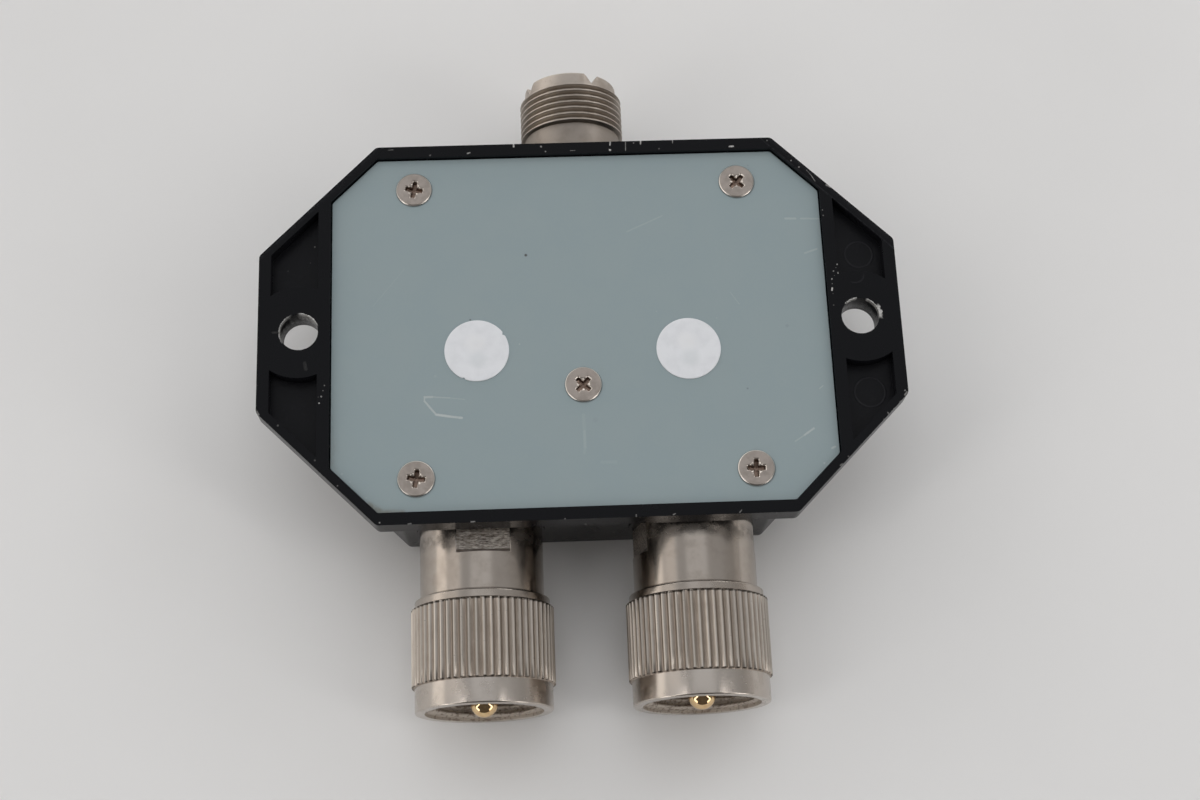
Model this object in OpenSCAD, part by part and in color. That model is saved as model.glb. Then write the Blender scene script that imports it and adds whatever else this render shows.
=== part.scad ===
// Two-band antenna duplexer in a die-cast case with a screwed cover.
// It lies on its front face with the cover up. The origin is the centre of
// the front face, +X runs along the case and +Y points to the socket.

/* [Case] */
// Length of the case over its two ears
case_l = 93; // [90:0.5:110]
// Width of the flange across the case
case_w = 58; // [57:0.5:62]
// Length that the 45 degree cuts take off the flange's corners
case_cut = 17; // [14:0.5:18]
// Height of the case from its front face to the top of the rim
case_h = 24; // [23.8:0.1:28]
// Thickness of the flange and of the ears
flange_t = 4.4; // [4:0.1:4.5]
// Length of the box below the flange, at the front face
box_l = 66.6; // [64:0.2:68]
// Width of the box below the flange, at the front face
box_w = 53.3; // [52.6:0.1:54.2]
// Length that the 45 degree cuts take off the box's corners
box_cut = 6.65; // [5:0.05:8]
// Draft of the cast walls in degrees
draft = 1; // [0:0.25:1.5]
// Thickness of the cast side walls
wall = 2.6; // [2.2:0.1:2.8]
// Thickness of the front wall
floor_t = 2.6; // [2:0.1:2.8]
// Radius of the edge round the front face
front_edge_r = 1.2; // [0.6:0.1:2]
// Radius of the edge under the flange
flange_edge_r = 0.7; // [0.3:0.1:1]
// Radius of the upright corners of the case
corner_r = 1; // [0.4:0.1:1.5]

/* [Ears] */
// Diameter of the fixing holes
ear_hole_d = 5.5; // [4:0.1:6.5]
// Distance between the fixing holes
ear_pitch = 81.2; // [80.5:0.1:82]
// Radius of the solid land round each fixing hole
ear_land_r = 7; // [5.5:0.1:7.5]
// Depth of the cored pockets beside each fixing hole
pocket_depth = 2.2; // [1:0.1:2.8]
// Width of the rim at the end of each ear
ear_rim = 1.75; // [1.5:0.05:2.5]
// Width of the rim along the 45 degree edges
slant_rim = 1.2; // [1:0.1:2]
// Width of the strip between a pocket and the cover
strip_w = 1.8; // [1.2:0.1:2.2]

/* [Cover] */
// Length of the cover
cover_l = 72; // [70:0.5:73]
// Width of the cover
cover_w = 54.1; // [53.6:0.1:55]
// Length that the 45 degree cuts take off the cover's corners
cover_cut = 6.65; // [6.5:0.05:8]
// Thickness of the cover
cover_t = 1.2; // [1:0.1:1.5]
// Depth of the cover's face below the rim
cover_drop = 0.8; // [0.5:0.1:1.2]
// Gap between the cover's edge and its recess
cover_gap = 0.15; // [0.05:0.05:0.3]
// Distance of the four corner screws from the centre, along the case
screw_x = 24; // [23.6:0.1:24.6]
// Distance of the four corner screws from the centre, across the case
screw_y = 22.25; // [21.8:0.05:22.6]
// Distance of the middle screw from the centre, towards the plugs
mid_screw_y = 9; // [8:0.5:11]
// Diameter of the cover screws' threads
screw_d = 2.9; // [2.5:0.1:3]
// Diameter of the cover screws' heads
screw_head_d = 5.1; // [4.8:0.1:5.6]
// Height of the cover screws' heads above the cover
screw_proud = 0.25; // [0.1:0.05:0.4]
// Length of the cover screws below their heads
screw_len = 8; // [5:0.5:10]
// Diameter of the posts that the cover screws go into
post_d = 6; // [5.2:0.1:6.4]

/* [Tuning seals] */
// Diameter of the two tuning holes in the cover
tuning_hole_d = 5; // [4:0.2:6]
// Distance of the tuning holes from the centre, along the case
tuning_x = 15.3; // [14.5:0.1:16]
// Distance of the tuning holes from the centre, towards the plugs
tuning_y = 3.7; // [3:0.1:5]
// Diameter of the stuck-on seals
seal_d = 9.3; // [8:0.1:10.5]
// Thickness of the seals
seal_t = 0.2; // [0.1:0.05:0.3]

/* [Connectors] */
// Height of the three connectors' axes above the front face
axis_h = 10.5; // [10.4:0.1:10.8]
// Distance between the axes of the two plugs
plug_pitch = 31; // [30.6:0.2:33]
// Height of the machined pads that the connectors seat on
pad_proud = 0.55; // [0.5:0.05:0.8]
// Gap between a part that is held and its bore
fit_gap = 0.05; // [0.03:0.01:0.08]

/* [Plug barrels] */
// Diameter of the barrel
barrel_d = 17.9; // [17.5:0.1:18.1]
// Length of the barrel from its pad to its front shoulder
barrel_len = 14.4; // [13.5:0.1:16]
// Distance across the two wrench flats
flat_across = 16.1; // [15.5:0.1:16.8]
// Length of the wrench flats
flat_len = 4.8; // [4:0.1:6]
// Turn of the left plug's wrench flats from level, in degrees
left_flat_turn = 4; // [-10:1:10]
// Turn of the right plug's wrench flats from level, in degrees
right_flat_turn = -78; // [-90:1:-60]
// Diameter of the threaded shank in the case wall
shank_d = 12; // [11:0.5:12.5]
// Length of the threaded shank
shank_len = 4.8; // [4.2:0.1:5.2]
// Diameter of the front collar with the locking teeth
tooth_collar_d = 14.3; // [13.6:0.1:14.5]
// Length of the front collar with the locking teeth
tooth_collar_len = 1.3; // [0.8:0.1:1.6]
// Height of the locking teeth
tooth_h = 0.7; // [0.4:0.1:1]
// Outer diameter of the nose sleeve
nose_d = 11.9; // [11.4:0.1:12.2]
// Wall of the nose sleeve
nose_wall = 1; // [0.7:0.1:1.3]
// Length of the nose sleeve in front of the toothed collar
nose_len = 4.3; // [3:0.1:5]
// Depth of the insulator's face inside the nose sleeve
nose_recess = 2.8; // [1.5:0.1:3.5]
// Diameter of the insulator in the shank
core_d = 7; // [6:0.2:8]
// Length of the narrow bore from the shank's end
narrow_len = 7; // [6:0.2:9]

/* [Plug pins] */
// Diameter of the plug pins
pin_d = 3.96; // [3.8:0.02:4]
// Reach of the pin's tip in front of the barrel's shoulder
pin_reach = 12.5; // [10.5:0.1:13]
// Diameter of the pin's stem, in the plug's insulator
pin_stem_d = 3.4; // [2.8:0.1:3.7]
// Gap between the pin's shoulder and the insulator
pin_shoulder_gap = 0.3; // [0.1:0.05:0.5]
// Diameter of the pins' and the contact's tails
tail_d = 2.4; // [1.8:0.1:2.6]
// Distance of the tails' ends from the middle of the case
tail_end = 15.2; // [14:0.2:16]

/* [Coupling nuts] */
// Length of the coupling nut
nut_len = 16; // [15:0.1:17]
// Length of the nut's skirt behind its inner shoulder
skirt_len = 4.45; // [4:0.05:5]
// Axial play of the nut on its barrel
nut_play = 0.3; // [0.2:0.05:0.4]
// Radial running gap between the nut and its barrel
run_gap = 0.1; // [0.06:0.01:0.15]
// Diameter over the knurl's crests
knurl_d = 20.6; // [20.4:0.1:20.7]
// Depth of the knurl
knurl_depth = 0.4; // [0.3:0.02:0.7]
// Number of the knurl's ribs
knurl_ribs = 60; // [40:1:72]
// Length of the smooth collar behind the knurl
rear_collar_len = 1.1; // [0.8:0.1:1.5]
// Diameter of the smooth collar behind the knurl
rear_collar_d = 19.5; // [19.3:0.1:19.8]
// Chamfer round the nut's rear edge
rear_chamfer = 0.45; // [0.2:0.05:0.6]
// Length of the smooth band in front of the knurl
band_len = 3.5; // [2.5:0.1:4]
// Diameter of the smooth band in front of the knurl
band_d = 19.7; // [19.3:0.1:20]
// Chamfer round the nut's front edge
front_chamfer = 0.15; // [0.1:0.05:0.4]
// Diameter of the nut's threaded bore
nut_bore_d = 14.9; // [14.8:0.05:15.1]
// Length of the nut's threaded bore
nut_thread_len = 8; // [7:0.1:9]
// Diameter of the mouth's countersink
mouth_d = 16.9; // [16.2:0.1:17.2]
// Depth of the mouth's countersink
mouth_depth = 0.5; // [0.3:0.05:1]
// Diameter of the relief between the thread and the inner shoulder
relief_d = 16.4; // [16:0.1:16.8]
// Width of the snap ring
ring_w = 0.9; // [0.7:0.1:1]
// Radial thickness of the snap ring
ring_t = 0.75; // [0.6:0.05:0.8]
// Distance of the snap ring behind the barrel's shoulder
ring_back = 1.6; // [1.3:0.1:1.9]
// Turn that the gap in the snap ring takes out, in degrees
ring_gap_deg = 24; // [10:1:60]

/* [Socket] */
// Diameter of the plain neck
neck_d = 14.76; // [14.2:0.1:15]
// Length of the plain neck in front of the pad
neck_len = 8.2; // [7:0.1:9]
// Outer diameter of the socket's thread
socket_thread_d = 15.96; // [15.7:0.02:16.2]
// Length of the socket's thread
socket_thread_len = 6.9; // [6.5:0.1:8]
// Diameter of the notched collar
notch_collar_d = 14.35; // [14.1:0.05:14.6]
// Length of the notched collar
notch_collar_len = 2; // [1.4:0.1:2.2]
// Width of the V notches at the rim
notch_w = 2.4; // [1.8:0.1:3]
// Depth of the V notches
notch_depth = 1.6; // [1:0.1:1.7]
// Number of the V notches
notch_count = 4; // [2:1:6]
// Turn of the first V notch from the top, in degrees
notch_turn = 27; // [0:1:45]
// Diameter of the socket's front bore
socket_bore_d = 12.9; // [12.4:0.1:13.1]
// Depth of the socket's front bore
socket_bore_depth = 5.5; // [4.5:0.1:6]
// Diameter of the insulator behind the front bore
socket_core_d = 10.3; // [9.4:0.1:10.8]
// Diameter of the insulator's raised boss
boss_d = 8.8; // [7.6:0.1:9.2]
// Height of the insulator's raised boss
boss_h = 1.6; // [1:0.1:2.5]
// Diameter of the socket's threaded shank
socket_shank_d = 10; // [9.5:0.1:10.4]
// Diameter of the insulator in the socket's shank
socket_narrow_d = 6.8; // [6:0.1:7.2]
// Length of the shank inside the case wall's inner pad
socket_shank_len = 4.1; // [3.9:0.1:4.3]
// Depth of the inner pad's face behind the outer pad's face
wall_grip = 3.3; // [3.2:0.1:3.6]
// Outer diameter of the contact sleeve
contact_d = 6.2; // [5.6:0.1:6.6]
// Bore of the contact sleeve
contact_bore_d = 4; // [3.9:0.02:4.2]
// Depth of the contact sleeve's bore
contact_bore_len = 11.2; // [10:0.1:12]
// Distance of the contact's end behind the socket's rim
contact_back = 0.7; // [0.4:0.1:1.2]
// Width of the slots in the contact sleeve
slot_w = 0.5; // [0.3:0.05:0.7]
// Length of the slots in the contact sleeve
slot_len = 4.2; // [3:0.1:5]
// Thickness of the toothed lock washer
washer_t = 0.6; // [0.4:0.1:0.8]
// Outer diameter of the toothed lock washer
washer_d = 14.4; // [13.6:0.1:15]
// Number of the lock washer's teeth
washer_teeth = 10; // [6:1:14]
// Thickness of the lock nut
lock_nut_t = 3; // [2.5:0.1:3.2]
// Distance across the lock nut's flats
lock_nut_af = 14; // [13:0.1:14.4]

/* [Circuit board] */
// Length of the circuit board
board_l = 58; // [56:0.5:59]
// Width of the circuit board
board_w = 37.4; // [35.6:0.1:37.6]
// Thickness of the circuit board
board_t = 1.6; // [1.2:0.1:1.6]
// Height of the circuit board's underside above the front face
board_h = 6.4; // [5.8:0.1:6.4]
// Distance of the board's screws from the centre, along the case
board_screw_x = 25.2; // [24:0.1:25.6]
// Distance of the board's screws from the centre, across the case
board_screw_y = 14.8; // [14:0.1:15.2]
// Diameter of the bosses under the board
board_boss_d = 6; // [5:0.1:6.4]
// Length of the board's screws below their heads
board_screw_len = 4.6; // [3:0.1:5]
// Diameter of the board screws' heads
board_head_d = 5; // [4.6:0.1:5.4]
// Height of the board screws' heads
board_head_h = 1.7; // [1.2:0.1:2.2]
// Thickness of the cast rib between the two filters
rib_t = 2.4; // [2:0.1:3]
// Depth of the rib's top edge below the cover's seat
rib_drop = 4; // [2:0.5:7]
// Gap between the board and the cast rib and post
board_gap = 0.6; // [0.4:0.1:1]
// Thickness of the solder lugs
lug_t = 0.6; // [0.4:0.1:0.8]
// Width of the solder lugs
lug_w = 4; // [3.4:0.1:5]
// Length of the lugs' feet on the board
lug_foot = 2.6; // [2:0.1:3]

/* [Filter parts] */
// Diameter of the coils' wire
wire_d = 1.1; // [0.8:0.1:1.3]
// Mean radius of the low-band coils
low_coil_r = 3.2; // [2.6:0.1:3.4]
// Turns of the low-band coils, besides the half turn between their legs
low_coil_turns = 4; // [2:1:5]
// Mean radius of the high-band coils
high_coil_r = 2.3; // [2:0.1:2.6]
// Turns of the high-band coils, besides the half turn between their legs
high_coil_turns = 2; // [1:1:3]
// Pitch of the coils' turns
coil_pitch = 1.6; // [1.4:0.1:1.8]
// Height of the lowest point of a coil above the board
coil_lift = 0.8; // [0.5:0.1:1.5]
// Radius of the disc capacitors
cap_r = 2.7; // [2:0.1:3]
// Thickness of the disc capacitors
cap_t = 1.8; // [1.2:0.1:2.4]
// Height of the capacitors' lowest point above the board
cap_lift = 1.2; // [0.6:0.1:2]
// Diameter of the capacitors' leads
lead_d = 0.6; // [0.5:0.05:0.8]

/* [Trimmers] */
// Diameter of the trimmer's base
trimmer_d = 8.6; // [7.6:0.1:9]
// Height of the trimmer's base
trimmer_h = 3.6; // [3:0.1:4.5]
// Diameter of the trimmer's rotor
rotor_d = 6.8; // [5.6:0.1:7.4]
// Height of the trimmer's rotor
rotor_h = 1.3; // [1.1:0.1:1.8]
// Diameter of the rotor's stem
stem_d = 2; // [1.6:0.1:2.4]
// Diameter of the stem's swaged foot
foot_d = 3; // [2.8:0.1:3.4]
// Height of the stem's swaged foot
foot_h = 0.6; // [0.4:0.1:0.8]
// Running gap round the trimmer's rotor
rotor_gap = 0.1; // [0.06:0.01:0.12]
// Width of the screwdriver slot in the rotor
rotor_slot_w = 0.8; // [0.6:0.1:1.2]

/* [Hidden] */
$fn = 96;

// A cut runs this far past the face that it opens
over = 1;
// Heights on the case
cover_top = case_h - cover_drop;
seat_h = cover_top - cover_t;
flange_h = case_h - flange_t;
board_top = board_h + board_t;
// Distance of the pads' faces from the middle of the case, at either side
pad_y = box_w / 2 + pad_proud;
// Distances from the middle of the case along a plug
shank_end = pad_y - shank_len;
shoulder_y = pad_y + barrel_len;
nose_start = shoulder_y + tooth_collar_len;
nose_end = nose_start + nose_len;
insulator_face = nose_end - nose_recess;
nut_rear = shoulder_y + nut_play - skirt_len;
nut_front = nut_rear + nut_len;
pin_tip = shoulder_y + pin_reach;
nose_bore_r = nose_d / 2 - nose_wall;
narrow_end = shank_end + narrow_len;
ring_front = shoulder_y - ring_back;
// The groove and the ring share these radii: the ring stands half out of the barrel
ring_r_in = barrel_d / 2 + run_gap / 2 - ring_t / 2;
ring_r_out = ring_r_in + ring_t;
ring_side_gap = 0.1;
// Distances from the middle of the case along the socket
neck_end = pad_y + neck_len;
thread_end = neck_end + socket_thread_len;
rim_y = thread_end + notch_collar_len;
inner_pad_y = pad_y - wall_grip;
socket_shank_end = inner_pad_y - socket_shank_len;
bore_bottom = rim_y - socket_bore_depth;
socket_narrow_end = pad_y + 1.4;
contact_front = rim_y - contact_back;
contact_floor = contact_front - contact_bore_len;
contact_rear = contact_floor - 1.4;
// The board's slot clears the rib and the middle post
slot_half = rib_t / 2 + board_gap;
// Screws: the post's thread is drawn as a plain hole, just over the screw's size
screw_r = screw_d / 2;
screw_hole_r = screw_r + fit_gap;
// The board's screws share the cover screws' thread
board_lift_r = 0.2;
recess_w = 0.7;
recess_reach = 1.4;
recess_depth = 1;

// Rectangle of l by w with its corners cut at 45 degrees, and its corners rounded by r
function cut_corners(l, w, c) = [
    for (q = [[1, 1], [-1, 1], [-1, -1], [1, -1]])
        each (q[0] * q[1] > 0
            ? [[q[0] * l / 2, q[1] * (w / 2 - c)], [q[0] * (l / 2 - c), q[1] * w / 2]]
            : [[q[0] * (l / 2 - c), q[1] * w / 2], [q[0] * l / 2, q[1] * (w / 2 - c)]])
];
function unit(v) = v / norm(v);
function turn_of(v) = atan2(v[1], v[0]);
function short_way(a) = a > 180 ? a - 360 : a < -180 ? a + 360 : a;
function rounded(pts, r, steps = 3) = [
    for (i = [0 : len(pts) - 1])
        let (p = pts[i],
             u = unit(pts[(i + len(pts) - 1) % len(pts)] - p),
             v = unit(pts[(i + 1) % len(pts)] - p),
             half = acos(u * v) / 2,
             mid = p + unit(u + v) * r / sin(half),
             from = turn_of(p + u * r / tan(half) - mid),
             sweep = short_way(turn_of(p + v * r / tan(half) - mid) - from))
        for (k = [0 : steps]) mid + r * [cos(from + sweep * k / steps), sin(from + sweep * k / steps)]
];
// The same outline moved inwards by d, with its cuts kept parallel
function inset_cut(c, d) = c - d * (2 - sqrt(2));
function outline(l, w, c, d, r) = rounded(cut_corners(l - 2 * d, w - 2 * d, inset_cut(c, d)), r);

// Solid through a stack of outlines, each given as [height, outline]
module loft(levels) {
    n = len(levels[0][1]);
    last = len(levels) - 1;
    polyhedron(
        points = [for (level = levels) for (p = level[1]) [p[0], p[1], level[0]]],
        faces = concat(
            [[for (i = [0 : n - 1]) i]],
            [[for (i = [n - 1 : -1 : 0]) last * n + i]],
            [for (j = [0 : last - 1]) for (i = [0 : n - 1])
                [j * n + i, (j + 1) * n + i, (j + 1) * n + (i + 1) % n, j * n + (i + 1) % n]]),
        convexity = 4);
}
// Levels of a rounded lower edge of radius r, on an outline of l by w
function edge_levels(l, w, c, h, r) = [
    for (a = [0 : 30 : 90]) [h + r * (1 - cos(a)), outline(l, w, c, r * (1 - sin(a)), corner_r)]
];
// How far the drafted walls stand out at height h
function drafted(h) = h * tan(draft);

module at_left_plug() {
    translate([-plug_pitch / 2, 0, axis_h]) rotate([90, 0, 0]) children();
}
module at_right_plug() {
    translate([plug_pitch / 2, 0, axis_h]) rotate([90, 0, 0]) children();
}
module at_socket() {
    translate([0, 0, axis_h]) rotate([-90, 0, 0]) children();
}
module at_corners(x, y) {
    for (sx = [-1, 1]) for (sy = [-1, 1]) translate([sx * x, sy * y, 0]) children();
}
// Ring or disc between two distances along its axis
module disc(r, from, to) {
    translate([0, 0, from]) cylinder(r = r, h = to - from);
}

// Die-cast case: drafted box, flange with two ears, inner posts, rib and pads
module box_solid() {
    top = flange_h + flange_t / 2;
    loft(concat(edge_levels(box_l, box_w, box_cut, 0, front_edge_r),
        [[top, outline(box_l, box_w, box_cut, -drafted(top), corner_r)]]));
}
module flange_solid() {
    loft(concat(edge_levels(case_l, case_w, case_cut, flange_h, flange_edge_r),
        [[case_h, outline(case_l, case_w, case_cut, 0, corner_r)]]));
}
module cavity() {
    loft([[floor_t, outline(box_l, box_w, box_cut, wall - drafted(floor_t), corner_r)],
        [seat_h + over, outline(box_l, box_w, box_cut, wall - drafted(seat_h + over), corner_r)]]);
}
module cover_recess() {
    translate([0, 0, seat_h]) linear_extrude(cover_t + cover_drop + over)
        polygon(rounded(cut_corners(cover_l + 2 * cover_gap, cover_w + 2 * cover_gap,
            inset_cut(cover_cut, -cover_gap)), 0.5));
}
// Pockets above and below one ear's hole, in the flange's own outline
module ear_pockets(side) {
    inner = cover_l / 2 + cover_gap + strip_w;
    outer = case_l / 2 - ear_rim;
    slant = case_l / 2 + case_w / 2 - case_cut - slant_rim * sqrt(2);
    translate([0, 0, case_h - pocket_depth]) linear_extrude(pocket_depth + over)
        difference() {
            polygon([for (p = [[inner, slant - inner], [outer, slant - outer],
                [outer, outer - slant], [inner, inner - slant]]) [side * p[0], p[1]]]);
            translate([side * ear_pitch / 2, 0]) circle(r = ear_land_r);
        }
}
module posts() {
    at_corners(screw_x, screw_y) disc(post_d / 2, floor_t / 2, seat_h);
    translate([0, -mid_screw_y, 0]) disc(post_d / 2, floor_t / 2, seat_h);
    at_corners(board_screw_x, board_screw_y) disc(board_boss_d / 2, floor_t / 2, board_h);
    translate([-rib_t / 2, -box_w / 2 + wall / 2, floor_t / 2])
        cube([rib_t, box_w / 2 - wall / 2 - mid_screw_y, seat_h - rib_drop - floor_t / 2]);
}
module housing() {
    pad_root = box_w / 2 - wall / 2;
    color("#1b1d20") difference() {
        union() {
            difference() {
                union() {
                    box_solid();
                    flange_solid();
                    intersection() {
                        union() {
                            at_left_plug() disc(barrel_d / 2 + 0.4, pad_root, pad_y);
                            at_right_plug() disc(barrel_d / 2 + 0.4, pad_root, pad_y);
                            at_socket() disc(neck_d / 2 + 0.8, pad_root, pad_y);
                        }
                        translate([-case_l / 2, -case_w / 2, floor_t / 2])
                            cube([case_l, case_w, flange_h - floor_t / 2 + 1]);
                    }
                }
                cavity();
                cover_recess();
            }
            posts();
            at_left_plug() disc(shank_d / 2 + 2, shank_end, pad_root);
            at_right_plug() disc(shank_d / 2 + 2, shank_end, pad_root);
            at_socket() disc(washer_d / 2 + 0.7, inner_pad_y, pad_root);
        }
        for (side = [-1, 1]) {
            ear_pockets(side);
            translate([side * ear_pitch / 2, 0, flange_h - over])
                cylinder(d = ear_hole_d, h = flange_t + 2 * over);
        }
        at_left_plug() disc(shank_d / 2 + fit_gap, shank_end - over, pad_y + over);
        at_right_plug() disc(shank_d / 2 + fit_gap, shank_end - over, pad_y + over);
        at_socket() disc(socket_shank_d / 2 + fit_gap, inner_pad_y - over, pad_y + over);
        at_corners(screw_x, screw_y) disc(screw_hole_r, seat_h - screw_len, seat_h + over);
        translate([0, -mid_screw_y, 0]) disc(screw_hole_r, seat_h - screw_len, seat_h + over);
        at_corners(board_screw_x, board_screw_y)
            disc(screw_hole_r, board_top - board_screw_len - 0.2, board_h + over);
    }
}

// Painted cover plate with five countersunk holes and two tuning holes
module screw_sink(gap) {
    sink = screw_head_d / 2 - screw_r;
    translate([0, 0, cover_top - sink])
        cylinder(r1 = screw_r + gap, r2 = screw_head_d / 2 + gap, h = sink);
}
module cover_plate() {
    color("#808b8f") difference() {
        translate([0, 0, seat_h]) linear_extrude(cover_t)
            polygon(rounded(cut_corners(cover_l, cover_w, cover_cut), 0.5));
        for (sx = [-1, 1])
            translate([sx * tuning_x, -tuning_y, 0])
                disc(tuning_hole_d / 2, seat_h - over, cover_top + over);
        at_corners(screw_x, screw_y) screw_hole();
        translate([0, -mid_screw_y, 0]) screw_hole();
    }
}
module screw_hole() {
    disc(screw_hole_r, seat_h - over, cover_top + over);
    screw_sink(fit_gap);
    disc(screw_head_d / 2 + fit_gap, cover_top, cover_top + over);
}

// Countersunk cross-recessed cover screws
module cover_screw(turn) {
    top = cover_top + screw_proud;
    difference() {
        union() {
            screw_sink(0);
            disc(screw_head_d / 2, cover_top, top);
            disc(screw_r, seat_h - screw_len + 0.6, cover_top);
        }
        translate([0, 0, top - recess_depth]) rotate([0, 0, turn]) cross_recess();
    }
}
module cross_recess() {
    for (a = [0, 90]) rotate([0, 0, a])
        translate([-recess_reach, -recess_w / 2, 0])
            cube([2 * recess_reach, recess_w, recess_depth + over]);
}
module cover_screws() {
    color("#b9b3ab") {
        translate([-screw_x, screw_y, 0]) cover_screw(-10);
        translate([screw_x, screw_y, 0]) cover_screw(45);
        translate([-screw_x, -screw_y, 0]) cover_screw(-9);
        translate([screw_x, -screw_y, 0]) cover_screw(-2);
        translate([0, -mid_screw_y, 0]) cover_screw(46);
    }
}

// Stuck-on seals: discs of white film, pressed slightly into the tuning holes
module tuning_seal(dx, dy) {
    color("#e6e6ea") translate([dx, dy, cover_top]) cylinder(d = seal_d, h = seal_t);
}
module left_tuning_seal() {
    tuning_seal(-tuning_x + 0.15, -tuning_y + 0.3);
}
module right_tuning_seal() {
    tuning_seal(tuning_x + 0.1, -tuning_y - 0.3);
}

// Socket: turned shell with neck, thread and notched collar
module socket_shell() {
    r_neck = neck_d / 2;
    r_thread = socket_thread_d / 2;
    r_collar = notch_collar_d / 2;
    r_bore = socket_bore_d / 2;
    color("#a39a8f") at_socket() difference() {
        rotate_extrude() polygon([
            [socket_narrow_d / 2 + fit_gap, socket_shank_end],
            [socket_shank_d / 2 - 0.4, socket_shank_end],
            [socket_shank_d / 2, socket_shank_end + 0.4],
            [socket_shank_d / 2, pad_y],
            [r_neck, pad_y],
            [r_neck, neck_end],
            [r_thread - 0.3, neck_end],
            [r_thread, neck_end + 0.3],
            [r_thread, thread_end - 0.4],
            [r_collar + 0.05, thread_end],
            [r_collar, rim_y - 0.3],
            [r_collar - 0.25, rim_y],
            [r_bore + 0.15, rim_y],
            [r_bore, rim_y - 0.3],
            [r_bore, bore_bottom],
            [socket_core_d / 2 + fit_gap, bore_bottom],
            [socket_core_d / 2 + fit_gap, socket_narrow_end],
            [socket_narrow_d / 2 + fit_gap, socket_narrow_end]
        ]);
        for (k = [0 : notch_count - 1])
            rotate([0, 0, -90 + notch_turn + 360 * k / notch_count]) v_notch();
    }
}
module v_notch() {
    translate([0, 0, rim_y - notch_depth]) rotate([90, 0, 90])
        linear_extrude(notch_collar_d)
            polygon([[0, 0], [notch_w / 2 * (1 + over / notch_depth), notch_depth + over],
                [-notch_w / 2 * (1 + over / notch_depth), notch_depth + over]]);
}
module socket_insulator() {
    color("#e9e6dd") at_socket() difference() {
        union() {
            disc(socket_narrow_d / 2, socket_shank_end, socket_narrow_end + over);
            disc(socket_core_d / 2, socket_narrow_end, bore_bottom);
            disc(boss_d / 2, bore_bottom - over, bore_bottom + boss_h);
        }
        disc(tail_d / 2 + fit_gap, socket_shank_end - over, contact_rear + over);
        disc(contact_d / 2 + fit_gap, contact_rear, rim_y);
    }
}
module socket_contact() {
    color("#c9a24a") at_socket() difference() {
        union() {
            disc(tail_d / 2, tail_end, contact_rear + over);
            disc(contact_d / 2, contact_rear, contact_front);
        }
        disc(contact_bore_d / 2, contact_floor, contact_front + over);
        for (a = [0, 90]) rotate([0, 0, a])
            translate([-contact_d, -slot_w / 2, contact_front - slot_len])
                cube([2 * contact_d, slot_w, slot_len + over]);
    }
}
module socket_lock_washer() {
    color("#c9c6c0") at_socket() difference() {
        disc(washer_d / 2, inner_pad_y - washer_t, inner_pad_y);
        disc(socket_shank_d / 2 + fit_gap, inner_pad_y - washer_t - over, inner_pad_y + over);
        for (k = [0 : washer_teeth - 1]) rotate([0, 0, 360 * k / washer_teeth])
            translate([washer_d / 2 - 1.1, -0.5, inner_pad_y - washer_t - over])
                cube([2, 1, washer_t + 2 * over]);
    }
}
module socket_lock_nut() {
    nut_face = inner_pad_y - washer_t;
    color("#bdb9b2") at_socket() difference() {
        translate([0, 0, nut_face - lock_nut_t]) rotate([0, 0, 30])
            cylinder(d = lock_nut_af / cos(30), h = lock_nut_t, $fn = 6);
        disc(socket_shank_d / 2 + fit_gap, nut_face - lock_nut_t - over, nut_face + over);
    }
}

// Plug barrel: turned body with shank, wrench flats, snap ring groove and nose
module plug_barrel(flat_turn) {
    r = barrel_d / 2;
    color("#a39a8f") difference() {
        union() {
            rotate_extrude() polygon([
                [core_d / 2 + fit_gap, shank_end],
                [shank_d / 2 - 0.4, shank_end],
                [shank_d / 2, shank_end + 0.4],
                [shank_d / 2, pad_y],
                [r, pad_y],
                [r, ring_front - ring_w - ring_side_gap],
                [ring_r_in - fit_gap, ring_front - ring_w - ring_side_gap],
                [ring_r_in - fit_gap, ring_front + ring_side_gap],
                [r, ring_front + ring_side_gap],
                [r, shoulder_y - 0.3],
                [r - 0.3, shoulder_y],
                [tooth_collar_d / 2, shoulder_y],
                [tooth_collar_d / 2, nose_start],
                [nose_d / 2, nose_start],
                [nose_d / 2, nose_end - 0.3],
                [nose_d / 2 - 0.3, nose_end],
                [nose_bore_r, nose_end],
                [nose_bore_r, narrow_end],
                [core_d / 2 + fit_gap, narrow_end]
            ]);
            for (k = [0 : notch_count - 1])
                rotate([0, 0, notch_turn + 360 * k / notch_count]) lock_tooth();
        }
        for (side = [0, 180]) rotate([0, 0, side - flat_turn])
            translate([-r, flat_across / 2, pad_y - over]) cube([2 * r, r, flat_len + over]);
    }
}
module lock_tooth() {
    // The flanks have the notches' slope and start inside the collar
    root_in = 0.3;
    root_w = notch_w * (tooth_h + root_in) / notch_depth;
    difference() {
        translate([0, 0, nose_start]) rotate([90, 0, 90]) linear_extrude(tooth_collar_d / 2)
            polygon([[-root_w / 2, -root_in], [root_w / 2, -root_in], [0, tooth_h]]);
        disc(nose_d / 2 - nose_wall / 2, 0, nose_end);
        difference() {
            disc(tooth_collar_d, nose_start - over, nose_end);
            disc(tooth_collar_d / 2 - 0.05, nose_start - 2 * over, nose_end + over);
        }
    }
}
module plug_insulator() {
    color("#e9e6dd") difference() {
        union() {
            disc(core_d / 2, shank_end, narrow_end + over);
            disc(nose_bore_r - fit_gap, narrow_end, insulator_face);
        }
        disc(tail_d / 2 + fit_gap, shank_end - over, narrow_end + 2 * over);
        disc(pin_stem_d / 2 + fit_gap, narrow_end + over, insulator_face + over);
    }
}
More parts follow.
